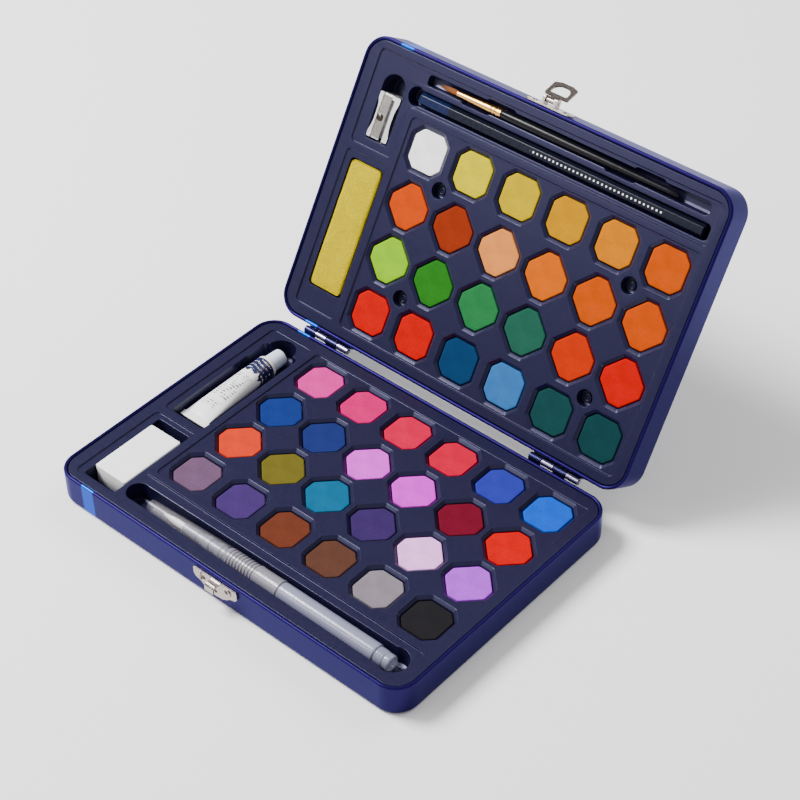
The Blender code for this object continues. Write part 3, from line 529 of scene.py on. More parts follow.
def bevel(obj, width, segments=3, angle=30):
    modifier = obj.modifiers.new("Bevel", "BEVEL")
    modifier.width = width
    modifier.segments = segments
    modifier.limit_method = "ANGLE"
    modifier.angle_limit = math.radians(angle)
    modifier.harden_normals = True
    weigh_normals(obj)


def join(obj, bm, place, origin=(0, 0, 0), operation="UNION"):
    """Join a piece with a solid drawn in the same frame, and keep the result in its mesh."""
    bmesh.ops.recalc_face_normals(bm, faces=bm.faces)
    bmesh.ops.translate(bm, verts=bm.verts, vec=-Vector(origin))
    mesh = bpy.data.meshes.new("tool")
    bm.to_mesh(mesh)
    bm.free()
    tool = bpy.data.objects.new("tool", mesh)
    bpy.context.scene.collection.objects.link(tool)
    tool.matrix_world = place @ Matrix.Translation(Vector(origin))
    bpy.context.view_layer.update()
    modifier = obj.modifiers.new("Join", "BOOLEAN")
    modifier.operation = operation
    modifier.solver = "EXACT"
    modifier.object = tool
    bpy.context.view_layer.objects.active = obj
    with bpy.context.temp_override(object=obj, active_object=obj):
        bpy.ops.object.modifier_apply(modifier=modifier.name)
    bpy.data.objects.remove(tool, do_unlink=True)


def cut(obj, bm, place, origin=(0, 0, 0)):
    join(obj, bm, place, origin, "DIFFERENCE")


# ---------------------------------------------------------------- tin

def tin_outline(distance):
    low = Vector((-HALF_LENGTH + distance, -HALF_WIDTH + distance))
    return rounded_rectangle(low, -low, CORNER_RADIUS - distance, 20)


def make_tin(half, mat):
    """A pressed shell with a rounded foot and a rolled rim."""
    place, height, _, _ = HALVES[half]
    profile = []
    for i in range(7):
        angle = math.pi / 2 * i / 6
        profile.append((FLOOR_FILLET * (1 - math.sin(angle)), FLOOR_FILLET * (1 - math.cos(angle))))
    bead_z = height - BEAD
    for i in range(17):
        angle = math.pi - math.radians(250) * i / 16
        profile.append((BEAD * (1 + math.cos(angle)), bead_z + BEAD * math.sin(angle)))
    profile += [(SHEET, bead_z - 1.4 * BEAD), (SHEET, FLOOR_FILLET), (FLOOR_FILLET, SHEET)]
    bm = bmesh.new()
    loft(bm, [level(tin_outline(x), z) for x, z in profile])
    obj = make(bm, f"tin_{half}", place, half, [f"{half}_shell"], mat)
    weigh_normals(obj)


# ---------------------------------------------------------------- trays

def sunk(bm, levels, wells=()):
    """A skin down through (outline, height) levels to a floor. Returns its top ring."""
    rings = loft(bm, [level(outline, z) for outline, z in levels], ends=False)
    fill(bm, rings[-1], wells)
    return rings[0]


def sink(bm, outline, top, floor, draft=0.4 * MM, foot=0.9 * MM):
    """A well with a rounded lip, sloping walls and a rounded foot."""
    lip = 0.3 * MM
    levels = [(-lip, top), (-0.3 * lip, top - 0.25 * lip), (0, top - lip)]
    levels += [(draft, floor + foot), (draft + 0.3 * foot, floor + 0.3 * foot), (draft + foot, floor)]
    return sunk(bm, [(inset(outline, d), z) for d, z in levels])


def sink_cake(bm, centre, is_turned, top, cake_z, floor):
    """A cake's well, which slopes in to the cake's edge."""
    levels = [(2.35, top), (2.2, top - 0.04 * MM), (2.05, top - 0.14 * MM), (1.95, top - 0.3 * MM)]
    levels += [(0.75, cake_z + 0.2 * MM), (0.5, cake_z - 0.3 * MM), (0.4, floor)]
    return sunk(bm, [(octagon(centre, margin * MM, is_turned), z) for margin, z in levels])


def panel(bm, outline, border, low, wells):
    """A shallow sunk panel with soft edges that holds wells."""
    levels = [(-0.25, border), (-0.1, border - 0.04 * MM), (0.0, border - 0.2 * MM)]
    levels += [(0.25, low + 0.1 * MM), (0.45, low)]
    return sunk(bm, [(inset(outline, d * MM), z) for d, z in levels], wells)


def drawn_wells(half, bm, low, height):
    """The tool panels of a half, as (outline, its wells' top rings)."""
    def well(outline, drop, **options):
        return sink(bm, outline, low, height - drop * MM, **options)

    if half == "base":
        ell = [(9.2, 155.2), (227, 155.2), (227, 133.4), (38.6, 133.4), (38.6, 96.6), (9.2, 96.6)]
        return [
            (box_outline(9.2, 38.6, 8.3, 92.4, 3), [well(tube_well_outline(), 13.6, foot=2.0 * MM)]),
            (ell_outline(ell, 3), [
                well(box_outline(13.8, 36.2, 100.2, 153.4, 1.5), 13.2),
                well(bar_outline(45.4, 216.8, 145.2, 6.1, 7.1, 6.3, 8.0), 12.0, foot=1.6 * MM),
            ]),
        ]
    ell = [(9.2, 59.4), (37.9, 59.4), (37.9, 29.7), (228, 29.7), (228.6, 6.7), (9.2, 6.7)]
    return [
        (box_outline(9.2, 37.9, 63.2, 153.6, 3), [well(box_outline(13.2, 36.4, 67.2, 141.4, 2.5), 11.7)]),
        (ell_outline(ell, 3), [
            well(sharpener_well_outline(), 12.3, foot=1.2 * MM),
            well(brush_slot_outline(), 6.2, foot=1.6 * MM),
            well(bar_outline(40, 226.1, 23, 4.4, 4.4, 5.3), 8.4, foot=1.6 * MM),
        ]),
    ]


def rivet_centres():
    centres = []
    for row in (0, 2):
        for column in (0, 4):
            near = cake_centre(LID_FIELD_Y, row, column)
            far = cake_centre(LID_FIELD_Y, row + 1, column + 1)
            centres.append((near + far) / 2)
    return centres


def make_tray(half, mat):
    """The moulded sheet: its edge, two tool panels and the field of cakes."""
    place, height, field_y, cake_drop = HALVES[half]
    border = height - BORDER_DROP
    low = height - PANEL_DROP
    bm = bmesh.new()
    edge = 2 * BEAD + 0.3 * MM
    levels = [(edge, 1.2 * MM), (edge, border - 0.3 * MM)]
    levels += [(edge + 0.08 * MM, border - 0.1 * MM), (edge + 0.28 * MM, border)]
    rim = loft(bm, [level(tin_outline(d), z) for d, z in levels], ends=False)
    panels = drawn_wells(half, bm, low, height)
    openings = [panel(bm, outline, border, low, wells) for outline, wells in panels]
    wells = []
    for row in range(4):
        for column in range(6):
            centre = cake_centre(field_y, row, column)
            floor = height - WELL_FLOOR_DROP
            wells.append(sink_cake(bm, centre, row in (1, 2), low, height - cake_drop, floor))
    if half == "lid":
        for centre in rivet_centres():
            hole = circle(centre, 4.5 * MM)
            wells.append(sink(bm, hole, low, height - RIVET_DROP, foot=0.7 * MM, draft=0.5 * MM))
    centre = Vector((FIELD_X, field_y))
    size = Vector((92.6 * MM, 60.7 * MM))
    openings.append(panel(bm, rounded_rectangle(centre - size, centre + size, 3 * MM), border, low, wells))
    fill(bm, rim[-1], openings)
    obj = make(bm, f"tray_{half}", place, half, [f"{half}_tray"], mat)
    if obj.data.polygons[-1].normal.z < 0:
        obj.data.flip_normals()
    weigh_normals(obj)


def make_rivets(mat):
    z = LID_HEIGHT - RIVET_DROP
    profile = [(z + 0.1 * MM, 1.9 * MM), (z + 0.3 * MM, 2.3 * MM), (z + 1.2 * MM, 2.3 * MM)]
    profile += [(z + 1.5 * MM, 2.0 * MM), (z + 1.6 * MM, 1.3 * MM), (z + 1.1 * MM, 1.0 * MM)]
    for number, centre in enumerate(rivet_centres(), 1):
        node = f"lid_tray_rivet_{number}"
        bm = turned(smoothed(profile), z_axis_through(centre))
        make(bm, f"tray_fixing_{number}", LID, "lid", [node], mat)


# ---------------------------------------------------------------- paint cakes

CAKE_COLOURS = {
    "lid": [
        [(250, 242, 240), (250, 218, 90), (255, 214, 20), (254, 202, 10), (250, 190, 90), (235, 162, 30)],
        [(220, 148, 50), (166, 74, 52), (255, 194, 150), (255, 174, 105), (250, 162, 35), (250, 156, 45)],
        [(166, 196, 20), (62, 144, 52), (62, 146, 92), (52, 118, 98), (250, 128, 40), (240, 84, 50)],
        [(236, 76, 62), (230, 70, 56), (36, 80, 126), (94, 146, 186), (38, 90, 90), (32, 82, 85)],
    ],
    "base": [
        [(253, 136, 200), (252, 108, 180), (244, 98, 146), (205, 66, 105), (80, 84, 176), (84, 164, 235)],
        [(50, 74, 146), (54, 66, 134), (240, 156, 240), (214, 124, 214), (138, 38, 60), (214, 52, 84)],
        [(205, 106, 84), (132, 124, 58), (56, 128, 160), (80, 58, 118), (226, 204, 246), (194, 127, 210)],
        [(134, 108, 134), (92, 68, 130), (130, 72, 54), (114, 76, 62), (160, 154, 160), (42, 40, 44)],
    ],
}


def make_cakes(half):
    """Octagonal cakes with a soft edge, a very slight dish and a chalky, uneven top."""
    place, height, field_y, cake_drop = HALVES[half]
    top = height - cake_drop
    levels = [(1.0, height - WELL_FLOOR_DROP + 0.1 * MM), (1.0, top - 0.45 * MM), (0.99, top - 0.16 * MM)]
    levels += [(0.97, top - 0.03 * MM), (0.935, top), (0.8, top - 0.05 * MM), (0.6, top - 0.1 * MM)]
    levels += [(0.4, top - 0.13 * MM), (0.2, top - 0.15 * MM)]
    for row in range(4):
        node = f"{half}_paint_row_{row + 1}"
        for column in range(6):
            centre = cake_centre(field_y, row, column)
            rings = []
            for share, z in levels:
                uneven = 0.05 * MM if share < 0.95 else 0
                rings.append([])
                for p in octagon(centre, 0, row in (1, 2)):
                    p = centre + (p - centre) * share
                    lift = noise.noise(Vector((p.x, p.y, 0)) * 260) * uneven
                    rings[-1].append((p.x, p.y, z + lift))
            bm = bmesh.new()
            loft(bm, rings)
            name = f"cake_{half}_{row + 1}_{column + 1}"
            mat = cake_paint(name + "_pigment", CAKE_COLOURS[half][row][column])
            make(bm, name, place, half, [node], mat, (centre.x, centre.y, top))


# ---------------------------------------------------------------- hinges

def make_leaf(name, centre_x, axis, side, knuckles, place, body, mat):
    """A leaf's plate against the wall, and its knuckles curled round the pin."""
    radius, bore = 1.9 * MM, 1.05 * MM
    top, foot = -2.3 * MM, -9 * MM
    section = [(side * radius, foot), (side * radius, top), (side * bore, top), (side * bore, foot)]
    step = HINGE_LENGTH / 4
    gap = 0.15 * MM
    stations = []
    for i in range(4):
        start = centre_x - HINGE_LENGTH / 2 + i * step
        stations += [start + gap, start + step - gap]
    angles = [math.radians(10) * i for i in range(31)]
    curl = [(side * radius * math.cos(a), radius * math.sin(a)) for a in angles]
    curl += [(side * bore * math.cos(a), bore * math.sin(a)) for a in reversed(angles)]
    bm = bmesh.new()

    def verts_at(x, points):
        return [bm.verts.new((x, axis.y + y, axis.z + z)) for y, z in points]

    plates = [verts_at(x, section) for x in stations]
    for i, (a, b) in enumerate(zip(plates, plates[1:])):
        for j in (0, 2, 3):
            k = (j + 1) % 4
            bm.faces.new([a[j], a[k], b[k], b[j]])
        if i % 2 or i // 2 not in knuckles:
            bm.faces.new([a[1], a[2], b[2], b[1]])
            continue
        left = [a[1]] + verts_at(stations[i], curl) + [a[2]]
        right = [b[1]] + verts_at(stations[i + 1], curl) + [b[2]]
        for j in range(len(left) - 1):
            bm.faces.new([left[j], left[j + 1], right[j + 1], right[j]])
        bm.faces.new(left)
        bm.faces.new(list(reversed(right)))
    bm.faces.new(list(reversed(plates[0])))
    bm.faces.new(plates[-1])
    origin = (centre_x, axis.y, axis.z)
    obj = make(bm, name + "_formed", place, body, [name], mat, origin)
    bevel(obj, 0.18 * MM, 2, 40)


def make_hinges(mat, lid_highlight_mat):
    # The lid's leaves get a lighter, glossier metal than the base's dark blue: a painted highlight for the
    # light their knuckles catch
    for side, label in ((-1, "left"), (1, "right")):
        x = side * HINGE_SPREAD
        make_leaf(f"{label}_hinge_base_leaf", x, AXIS, -1, (0, 2), BASE, "base", mat)
        make_leaf(f"{label}_hinge_lid_leaf", x, LID_AXIS, 1, (1, 3), LID, "lid", lid_highlight_mat)


# ---------------------------------------------------------------- latch

def bulge(x, z, radius, height, wall):
    """A low dome pressed out of a plate on a wall."""
    rings = []
    for i in range(5):
        angle = math.pi / 2 * i / 5
        out = wall + height * math.sin(angle)
        rings.append([(x + p.x, out, z + p.y) for p in circle(Vector((0, 0)), radius * math.cos(angle), 20)])
    bm = bmesh.new()
    loft(bm, rings)
    return bm


def crescent(x_mm, z_mm, side):
    """A thin curved tab outline, hollow towards the plate's middle."""
    angles = [math.radians(-62 + 124 * i / 8) for i in range(9)]
    outline = [Vector((x_mm + side * 2.6 * math.cos(a), z_mm + 2.6 * math.sin(a))) * MM for a in angles]
    for a in reversed(angles):
        outline.append(Vector((x_mm + side * (1.7 * math.cos(a) - 0.1), z_mm + 2.2 * math.sin(a))) * MM)
    return outline


def make_catch(mat):
    """The base's plate, with a hook for the hasp, two tabs and three holes."""
    half = [(4.5, 5.5), (7.5, 7.0), (10.0, 9.0), (13.2, 9.9), (14.7, 11.6), (14.7, 16.2)]
    points = half + [(-x, z) for x, z in reversed(half)] + [(0, 4.9)]
    outline = filleted([(Vector(p) * MM, 0.7 * MM) for p in points], 6)
    wall = -HALF_WIDTH
    origin = (0, wall, 10 * MM)
    bm = prism(outline, wall - 0.3 * MM, wall - 1.1 * MM, along_y)
    nodes = ["latch_catch_plate"]
    plate = make(bm, "catch_plate", BASE, "base", nodes, mat, origin)
    hook = [(0.7, 14.6), (3.6, 15.2), (4.6, 15.0), (5.3, 14.2), (5.4, 10.9), (4.7, 10.9), (4.6, 13.4)]
    hook += [(3.8, 14.2), (0.7, 13.6)]
    section = [Vector((wall - y * MM, z * MM)) for y, z in hook]
    join(plate, prism(section, -3.0 * MM, 3.0 * MM, along_x), BASE, origin)
    for side in (-1, 1):
        tab = crescent(side * 8.2, 12.6, side)
        join(plate, prism(tab, wall - 0.9 * MM, wall - 1.7 * MM, along_y), BASE, origin)
    for x, z, radius in ((0, 8.6, 1.3), (-7.7, 12.6, 1.35), (7.7, 12.6, 1.35)):
        hole = circle(Vector((x, z)) * MM, radius * MM, 20)
        cut(plate, prism(hole, wall - 0.5 * MM, wall - 2.0 * MM, along_y), BASE, origin)
    bevel(plate, 0.16 * MM, 2, 35)


def make_latch_plate(mat):
    """The lid's plate, with two cheeks for the pin and two pressed domes."""
    wall = HALF_WIDTH + 0.3 * MM
    axis = LATCH_AXIS
    low = Vector((-14.2 * MM, LID_HEIGHT - 6.8 * MM))
    high = Vector((14.2 * MM, LID_HEIGHT - 0.4 * MM))
    bm = prism(rounded_rectangle(low, high, 1.8 * MM, 8), wall, wall + 0.8 * MM, along_y)
    plate = make(bm, "latch_plate", LID, "lid", ["latch_lid_plate"], mat, axis)
    for side in (-1, 1):
        low = Vector((wall + 0.3 * MM, axis.z - 2.2 * MM))
        high = Vector((axis.y + 1.9 * MM, axis.z + 2.2 * MM))
        edges = sorted((side * 2.75 * MM, side * 4.4 * MM))
        join(plate, prism(rounded_rectangle(low, high, 0.8 * MM, 6), *edges, along_x), LID, axis)
        dome = bulge(side * 10.2 * MM, LID_HEIGHT - 3.4 * MM, 2.0 * MM, 0.9 * MM, wall + 0.6 * MM)
        join(plate, dome, LID, axis)
    bore = [(-5 * MM, 0.85 * MM), (5 * MM, 0.85 * MM)]
    cut(plate, turned(bore, x_axis_through(axis.y, axis.z), 32), LID, axis)
    bevel(plate, 0.15 * MM, 2, 35)


def make_hasp(mat):
    """A flat D-shaped loop on a knuckle, drawn hanging back over the lid."""
    place = LID @ Matrix.Translation(LATCH_AXIS) @ Matrix.Rotation(-HASP_ANGLE, 4, "X")
    half = [(2.4, 1.1, 0), (2.4, 3.2, 0.2), (7.4, 3.4, 1.0), (7.4, 12.6, 0.8), (3.6, 14.0, 1.2)]
    points = [(Vector((x, d)) * MM, r * MM) for x, d, r in half]
    points += [(Vector((-x, d)) * MM, r * MM) for x, d, r in reversed(half)]
    corners = [((-5.2, 5.4), 0.8), ((5.2, 5.4), 0.8), ((5.2, 11.6), 4.2), ((-5.2, 11.6), 4.2)]
    window = filleted([(Vector(p) * MM, r * MM) for p, r in corners], 10)
    bm = bmesh.new()
    plates, windows = [], []
    for y in (-0.4 * MM, 0.4 * MM):
        plates.append([bm.verts.new((p.x, y, p.y)) for p in filleted(points, 8)])
        windows.append([bm.verts.new((p.x, y, p.y)) for p in window])
    for first, second in (plates, windows):
        bridge(bm, first, second)
    for outer, hole in zip(plates, windows):
        verts = outer + hole
        for triangle in tessellate_polygon([[(v.co.x, v.co.z) for v in loop] for loop in (outer, hole)]):
            bm.faces.new([verts[i] for i in triangle])
    hasp = make(bm, "hasp", place, "hasp", ["latch_hasp"], mat)
    width, radius, bore = 2.4 * MM, 1.45 * MM, 0.85 * MM
    knuckle = [(-width, radius), (width, radius), (width, bore), (-width, bore)]
    join(hasp, turned(knuckle, x_axis_through(0, 0), 40, closed=True), place)
    bevel(hasp, 0.15 * MM, 2, 35)


# ---------------------------------------------------------------- things in the base

def along_tube(distance, a, b):
    """A point about the tube's axis, by its distance from the half's +y edge."""
    return Vector((at(23.3, 0).x + a, HALF_WIDTH - distance, BASE_HEIGHT - 6.9 * MM + b))


def make_tube(foil, cap_mat):
    """A dented tube, round at its shoulder and flat at its crimp, and its ribbed cap."""
    levels = [(24.5, 2.6, 2.6), (27.9, 2.6, 2.6), (28.0, 5.4, 5.4), (28.3, 6.2, 6.2), (29.4, 6.5, 6.5)]
    levels += [(31, 6.5, 6.5), (36, 6.55, 6.45), (42, 6.8, 6.2), (48, 7.0, 5.85), (54, 7.3, 5.4)]
    levels += [(60, 7.6, 4.75), (66, 7.9, 3.95), (72, 8.2, 3.05), (77, 8.4, 2.1), (80, 8.5, 1.4)]
    levels += [(81.6, 8.55, 0.9), (82.0, 8.6, 0.75), (82.2, 9.2, 0.9), (84.0, 9.2, 0.6)]
    levels += [(84.1, 9.2, 0.72), (86.0, 9.2, 0.72), (86.2, 9.15, 0.5)]
    rings = []
    for distance, wide, high in levels:
        rings.append([])
        for angle in around(56):
            a, b = wide * MM * math.cos(angle), high * MM * math.sin(angle)
            dent = noise.noise(Vector((a * 160, distance * 0.09, b * 90))) * 0.28 * MM
            if 33 < distance < 79 and b > 0:
                b += dent * min(1, (distance - 33) / 12) * math.sin(angle)
            rings[-1].append(along_tube(distance * MM, a, b))
    bm = bmesh.new()
    loft(bm, rings)
    origin = along_tube(57 * MM, 0, 0)
    nodes = ["paint_tube_body"]
    obj = make(bm, "tube_body", BASE, "paint_tube", nodes, foil, origin)
    obj.modifiers.new("Smooth", "SUBSURF").render_levels = 1

    cap = [(24.3, 2.9), (27.6, 2.9), (27.7, 4.9), (27.5, 5.1), (24, 4.95), (21, 4.8), (18.8, 4.68)]
    cap += [(18.2, 4.5), (17.85, 4.0), (17.8, 3.0), (18.05, 2.8)]
    rings = []
    for distance, radius in cap:
        rib = 0.14 * MM if 18.5 < distance < 27.5 and radius > 4 else 0
        rings.append([])
        for angle in around(96):
            r = radius * MM - rib * (0.5 + 0.5 * math.cos(angle * 32))
            rings[-1].append(along_tube(distance * MM, r * math.cos(angle), r * math.sin(angle)))
    bm = bmesh.new()
    loft(bm, rings)
    origin = along_tube(22 * MM, 0, 0)
    nodes = ["paint_tube_cap"]
    obj = make(bm, "tube_cap", BASE, "tube_cap", nodes, cap_mat, origin)
    weigh_normals(obj)


def tube_print():
    """White tube with a wavy navy band of pale strokes, then rows of fine grey strokes."""
    s = Shader("tube_print", pigment(232, 232, 238), 0.32)
    x, y, _ = s.axes()
    wave = s.noise(300, 3, s.stretched((1, 0.15, 1)))
    ragged = s.plus(y, s.times(s.math("SUBTRACT", wave, 0.5), 0.012))
    band = s.times(s.ramp(ragged, 14.9 * MM, 15.2 * MM), s.ramp(y, 26.4 * MM, 26.6 * MM, 1.0, 0.0))
    curved = s.plus(y, s.times(s.math("SINE", s.times(x, 620)), 0.0006))
    strokes = s.ramp(s.noise(1300, 2, s.stretched((1, 0.35, 1))), 0.52, 0.56)
    lines = s.ramp(s.math("SINE", s.times(curved, 2300)), 0.45, 0.65)
    marks = s.times(lines, strokes, s.band(y, 17 * MM, 25.4 * MM))
    navy = s.mix(marks, pigment(36, 40, 104), pigment(226, 228, 240))
    rows = s.math("GREATER_THAN", s.math("SINE", s.times(y, 3600)), -0.1)
    words = s.ramp(s.noise(1100, 1, s.stretched((1, 0.1, 1))), 0.48, 0.52)
    blocks = s.plus(s.band(y, -17 * MM, -12 * MM), s.band(y, -9 * MM, 11 * MM))
    text = s.times(rows, words, s.band(x, -4.6 * MM, 5.2 * MM), blocks)
    white = s.mix(s.times(text, 0.85), pigment(234, 232, 240), pigment(84, 88, 118))
    s.paint(s.mix(band, white, navy))
    s.rough(s.noise(200, 3), 0.26, 0.38)
    s.bump(s.noise(140, 3), 0.15, 0.0004)
    return s.mat


def make_eraser(mat):
    """A block with worn edges."""
    low, high = at(14.2, 146), at(35.8, 106)
    top = BASE_HEIGHT - 1.0 * MM
    bottom = top - 12.2 * MM
    levels = [(0.9, 0), (0.25, 0.1), (0, 0.6), (0, 6), (0, 11.6), (0.12, 11.95), (0.5, 12.15)]
    levels += [(1.4, 12.2), (5, 12.2)]
    rings = []
    for d, h in levels:
        margin = Vector((d, d)) * MM
        radius = max(0.25, 1.0 - d * 0.5) * MM
        rings.append(level(rounded_rectangle(low + margin, high - margin, radius, 6), bottom + h * MM))
    bm = bmesh.new()
    loft(bm, rings)
    middle = (low + high) / 2
    origin = (middle.x, middle.y, top - 6.1 * MM)
    make(bm, "eraser_block", BASE, "eraser", ["eraser"], mat, origin)


def make_water_brush(mats):
    """A refillable brush: cap, tuft, tuft holder, ribbed grip, reservoir and end plug."""
    y = at(0, 144.8).y
    z = BASE_HEIGHT - 6.1 * MM
    place = x_axis_through(y, z)

    def part(name, profile, mat, body="water_brush", closed=False, steps=48, middle=None):
        points = scaled(profile)
        if not closed and middle is None:
            points = smoothed(points)
        if middle is None:
            middle = (points[0][0] + points[-1][0]) / 2
        node = "water_brush_" + name
        bm = turned(points, place, steps, closed)
        return make(bm, node + "_piece", BASE, body, [node], mat, (middle, y, z))

    cap = [(53, 1.6), (53.15, 2.6), (53.8, 3.25), (60, 3.55), (70, 3.95), (80, 4.3), (100, 4.85)]
    cap += [(106.8, 5.0), (107.2, 5.2), (108, 5.2), (108, 4.3), (100, 4.15), (80, 3.55), (66, 3.0)]
    cap += [(56, 2.4), (54.4, 1.2)]
    part("cap", cap, mats["clear"], "water_brush_cap", middle=at(80, 0).x)
    tuft = [(63.0, 0.08), (64, 0.45), (66, 1.0), (69, 1.6), (73, 1.95), (78, 1.95), (84, 1.2)]
    weigh_normals(part("tuft", tuft, mats["tuft"]))
    holder = [(78, 2.5), (84, 2.85), (88, 3.0), (88.2, 2.7), (91, 2.75), (91.2, 3.2)]
    holder += [(93.5, 3.25), (94, 3.7), (97, 3.75), (97.4, 3.1), (101.5, 3.1), (101.9, 3.8), (104.5, 3.85)]
    holder += [(105, 3.3), (107, 3.4), (112, 3.6), (112, 1.6), (78, 2.2)]
    weigh_normals(part("tuft_holder", holder, mats["milky"], closed=True))
    grip = [(108.4, 3.95), (108.4, 4.6), (108.8, 4.85)]
    for i in range(9):
        x = 110 + 2.05 * i
        grip += [(x, 4.6), (x + 0.2, 5.05), (x + 1.1, 5.15), (x + 1.3, 4.65)]
    grip += [(128.6, 4.9), (128.8, 5.4), (129.4, 5.5), (130.0, 5.25), (142.6, 5.3), (143.2, 5.5)]
    grip += [(144.4, 5.45), (144.6, 5.2), (144.6, 4.1), (124, 4.1), (124, 3.95)]
    weigh_normals(part("grip", grip, mats["grip"], closed=True, steps=64))
    reservoir = [(124.4, 3.8), (145.0, 3.8), (145.0, 4.9), (145.5, 5.1), (146.5, 5.15), (176, 5.1)]
    reservoir += [(205.6, 5.1), (206.3, 4.95), (206.6, 4.6), (206.6, 4.0), (146, 4.0), (144, 2.8), (124.4, 2.8)]
    weigh_normals(part("reservoir", reservoir, mats["frosted"], closed=True, steps=64))
    plug = [(199, 2.4), (200, 3.7), (206.8, 3.7), (206.9, 4.3), (207.6, 4.5), (211.6, 4.4), (212.2, 4.1)]
    plug += [(213.4, 4.2), (215.0, 4.2), (215.8, 3.9), (216, 3.2)]
    weigh_normals(part("end_plug", plug, mats["milky"]))


# ---------------------------------------------------------------- things in the lid

def make_sponge(mat):
    """A soft foam block: rounded, slightly pillowed and uneven."""
    low, high = at(13.9, 140.7), at(35.8, 67.9)
    top = LID_HEIGHT - 0.9 * MM
    bottom = top - 10.4 * MM
    middle = Vector(((low.x + high.x) / 2, (low.y + high.y) / 2, (top + bottom) / 2))
    half = Vector(((high.x - low.x) / 2, (high.y - low.y) / 2, (top - bottom) / 2))
    bm = bmesh.new()
    bmesh.ops.create_cube(bm, size=2)
    bmesh.ops.subdivide_edges(bm, edges=bm.edges, cuts=27, use_grid_fill=True)
    for v in bm.verts:
        p = v.co
        q = Vector((p.x * half.x, p.y * half.y, p.z * half.z))
        for soft, flat in ((3.3 * MM, 0), (1.6 * MM, 1)):
            inner = half - Vector((soft, soft, soft * flat))
            core = Vector([max(-i, min(i, value)) for i, value in zip(inner, q)])
            if (q - core).length > soft:
                q = core + (q - core).normalized() * soft
        pull = 0.35 * MM * (1 - abs(p.y) ** 4)
        if abs(p.x) > 0.98:
            q.x -= math.copysign(pull * (1 - abs(p.z)), q.x)
        if p.z > 0.98:
            q.z -= 0.5 * MM * (abs(p.x) ** 3 * 0.4 + abs(p.y) ** 8 * 0.6)
            q.z += noise.noise(q * 90) * 0.25 * MM - 0.2 * MM
        rough = [noise.noise(q * 400 + Vector(shift)) for shift in ((0, 0, 0), (7, 0, 0), (0, 9, 0))]
        v.co = middle + q + Vector(rough) * 0.12 * MM
    obj = make(bm, "sponge_block", LID, "sponge", ["sponge"], mat, origin=middle)


def sponge_foam():
    s = Shader("foam", (0.46, 0.355, 0.001, 1), 0.95)
    pits = s.cells(1500)
    small = s.cells(3600)
    # The colour is darker in the low pits of the pores, where the bump sinks: painted shade, mixed with a
    # random tone from the noise
    pore_shade_and_tone = s.plus(s.times(pits, 0.6), s.times(s.noise(160, 4), 0.5))
    s.paint(s.vary(s.ramp(pore_shade_and_tone, 0.2, 0.8), 0.22))
    s.bump(pits, 0.6, 0.0005)
    s.bump(small, 0.4, 0.0002)
    s.set(Specular_IOR_Level=0.0)
    return s.mat


def make_sharpener(body_mat, blade_mat, screw_mat):
    """A waisted wedge with grooved sides, its pencil hole and chip slot, a blade and a screw."""
    centre = at(24.6, 40.6)
    top = LID_HEIGHT - 1.2 * MM
    bottom = top - 10.4 * MM
    screw = centre + Vector((-2.3, -1.0)) * MM

    def piece(bm, name, node, metal_name, mat, origin):
        return make(bm, name, LID, "sharpener", [node], mat, origin)

    side = [(-7.0, -12.6), (-7.0, -9.0), (-6.7, -8.2), (-6.0, -5.5), (-5.8, 0)]
    side += [(x, -y) for x, y in reversed(side[:-1])]
    points = [(x, y) for x, y in reversed(side)] + [(-x, y) for x, y in side]
    outline = filleted([(centre + Vector(p) * MM, (0.5 if abs(p[1]) > 12 else 0.3) * MM) for p in points], 4)
    origin = (centre.x, centre.y, (top + bottom) / 2)
    bm = prism(outline, bottom, top, upright)
    body = piece(bm, "sharpener_block", "sharpener_body", "_metal", body_mat, origin)
    axis = Vector((centre.x + 0.6 * MM, centre.y, top - 4.9 * MM))
    cone = [(-14 * MM, 4.2 * MM), (9 * MM, 0.9 * MM), (14 * MM, 0.9 * MM)]
    cut(body, turned(cone, lambda d, a, b: Vector((axis.x + a, axis.y + d, axis.z + b))), LID, origin)
    for low, high, depth in (((0.9, -13.5), (3.6, 10.4), 7.0), ((-4.6, -13.5), (1.8, 13.5), 0.9)):
        slot = rounded_rectangle(centre + Vector(low) * MM, centre + Vector(high) * MM, 0.4 * MM, 4)
        cut(body, prism(slot, top - depth * MM, top + 1 * MM, upright), LID, origin)
    for edge in (-1, 1):
        for i in range(6):
            groove = centre + Vector((edge * 6.05, -3.75 + 1.5 * i)) * MM
            outline = circle(groove, 0.45 * MM, 10)
            cut(body, prism(outline, bottom - 1 * MM, top + 1 * MM, upright), LID, origin)
    bevel(body, 0.2 * MM, 2, 40)

    low, high = centre + Vector((-4.3, -11.8)) * MM, centre + Vector((1.3, 11.9)) * MM
    bm = prism(rounded_rectangle(low, high, 0.3 * MM, 4), top - 0.6 * MM, top - 0.1 * MM, upright)
    origin = (centre.x, centre.y, top)
    blade = piece(bm, "sharpener_blade_ground", "sharpener_blade", "_steel", blade_mat, origin)
    hole = [(top - 2 * MM, 1.0 * MM), (top + 1 * MM, 1.0 * MM)]
    cut(blade, turned(hole, z_axis_through(screw), 32), LID, origin)
    bevel(blade, 0.08 * MM, 2, 40)

    profile = [(-3, 0.7), (0.05, 0.7), (0.05, 2.1), (0.3, 2.15), (0.6, 1.8), (0.78, 1.0)]
    profile = [(top + h * MM, r * MM) for h, r in profile]
    bm = turned(smoothed(profile), z_axis_through(screw), 40)
    origin = (screw.x, screw.y, top)
    head = piece(bm, "sharpener_screw_head", "sharpener_screw", "_steel", screw_mat, origin)
    slot = [screw + Vector(p) * MM for p in ((-1.9, -0.7), (-1.6, -1.1), (1.9, 0.7), (1.6, 1.1))]
    cut(head, prism(slot, top + 0.42 * MM, top + 1.5 * MM, upright), LID, origin)
    weigh_normals(head)


def lid_line(from_edge, drop):
    y = at(0, from_edge).y
    z = LID_HEIGHT - drop * MM
    return y, z, x_axis_through(y, z)


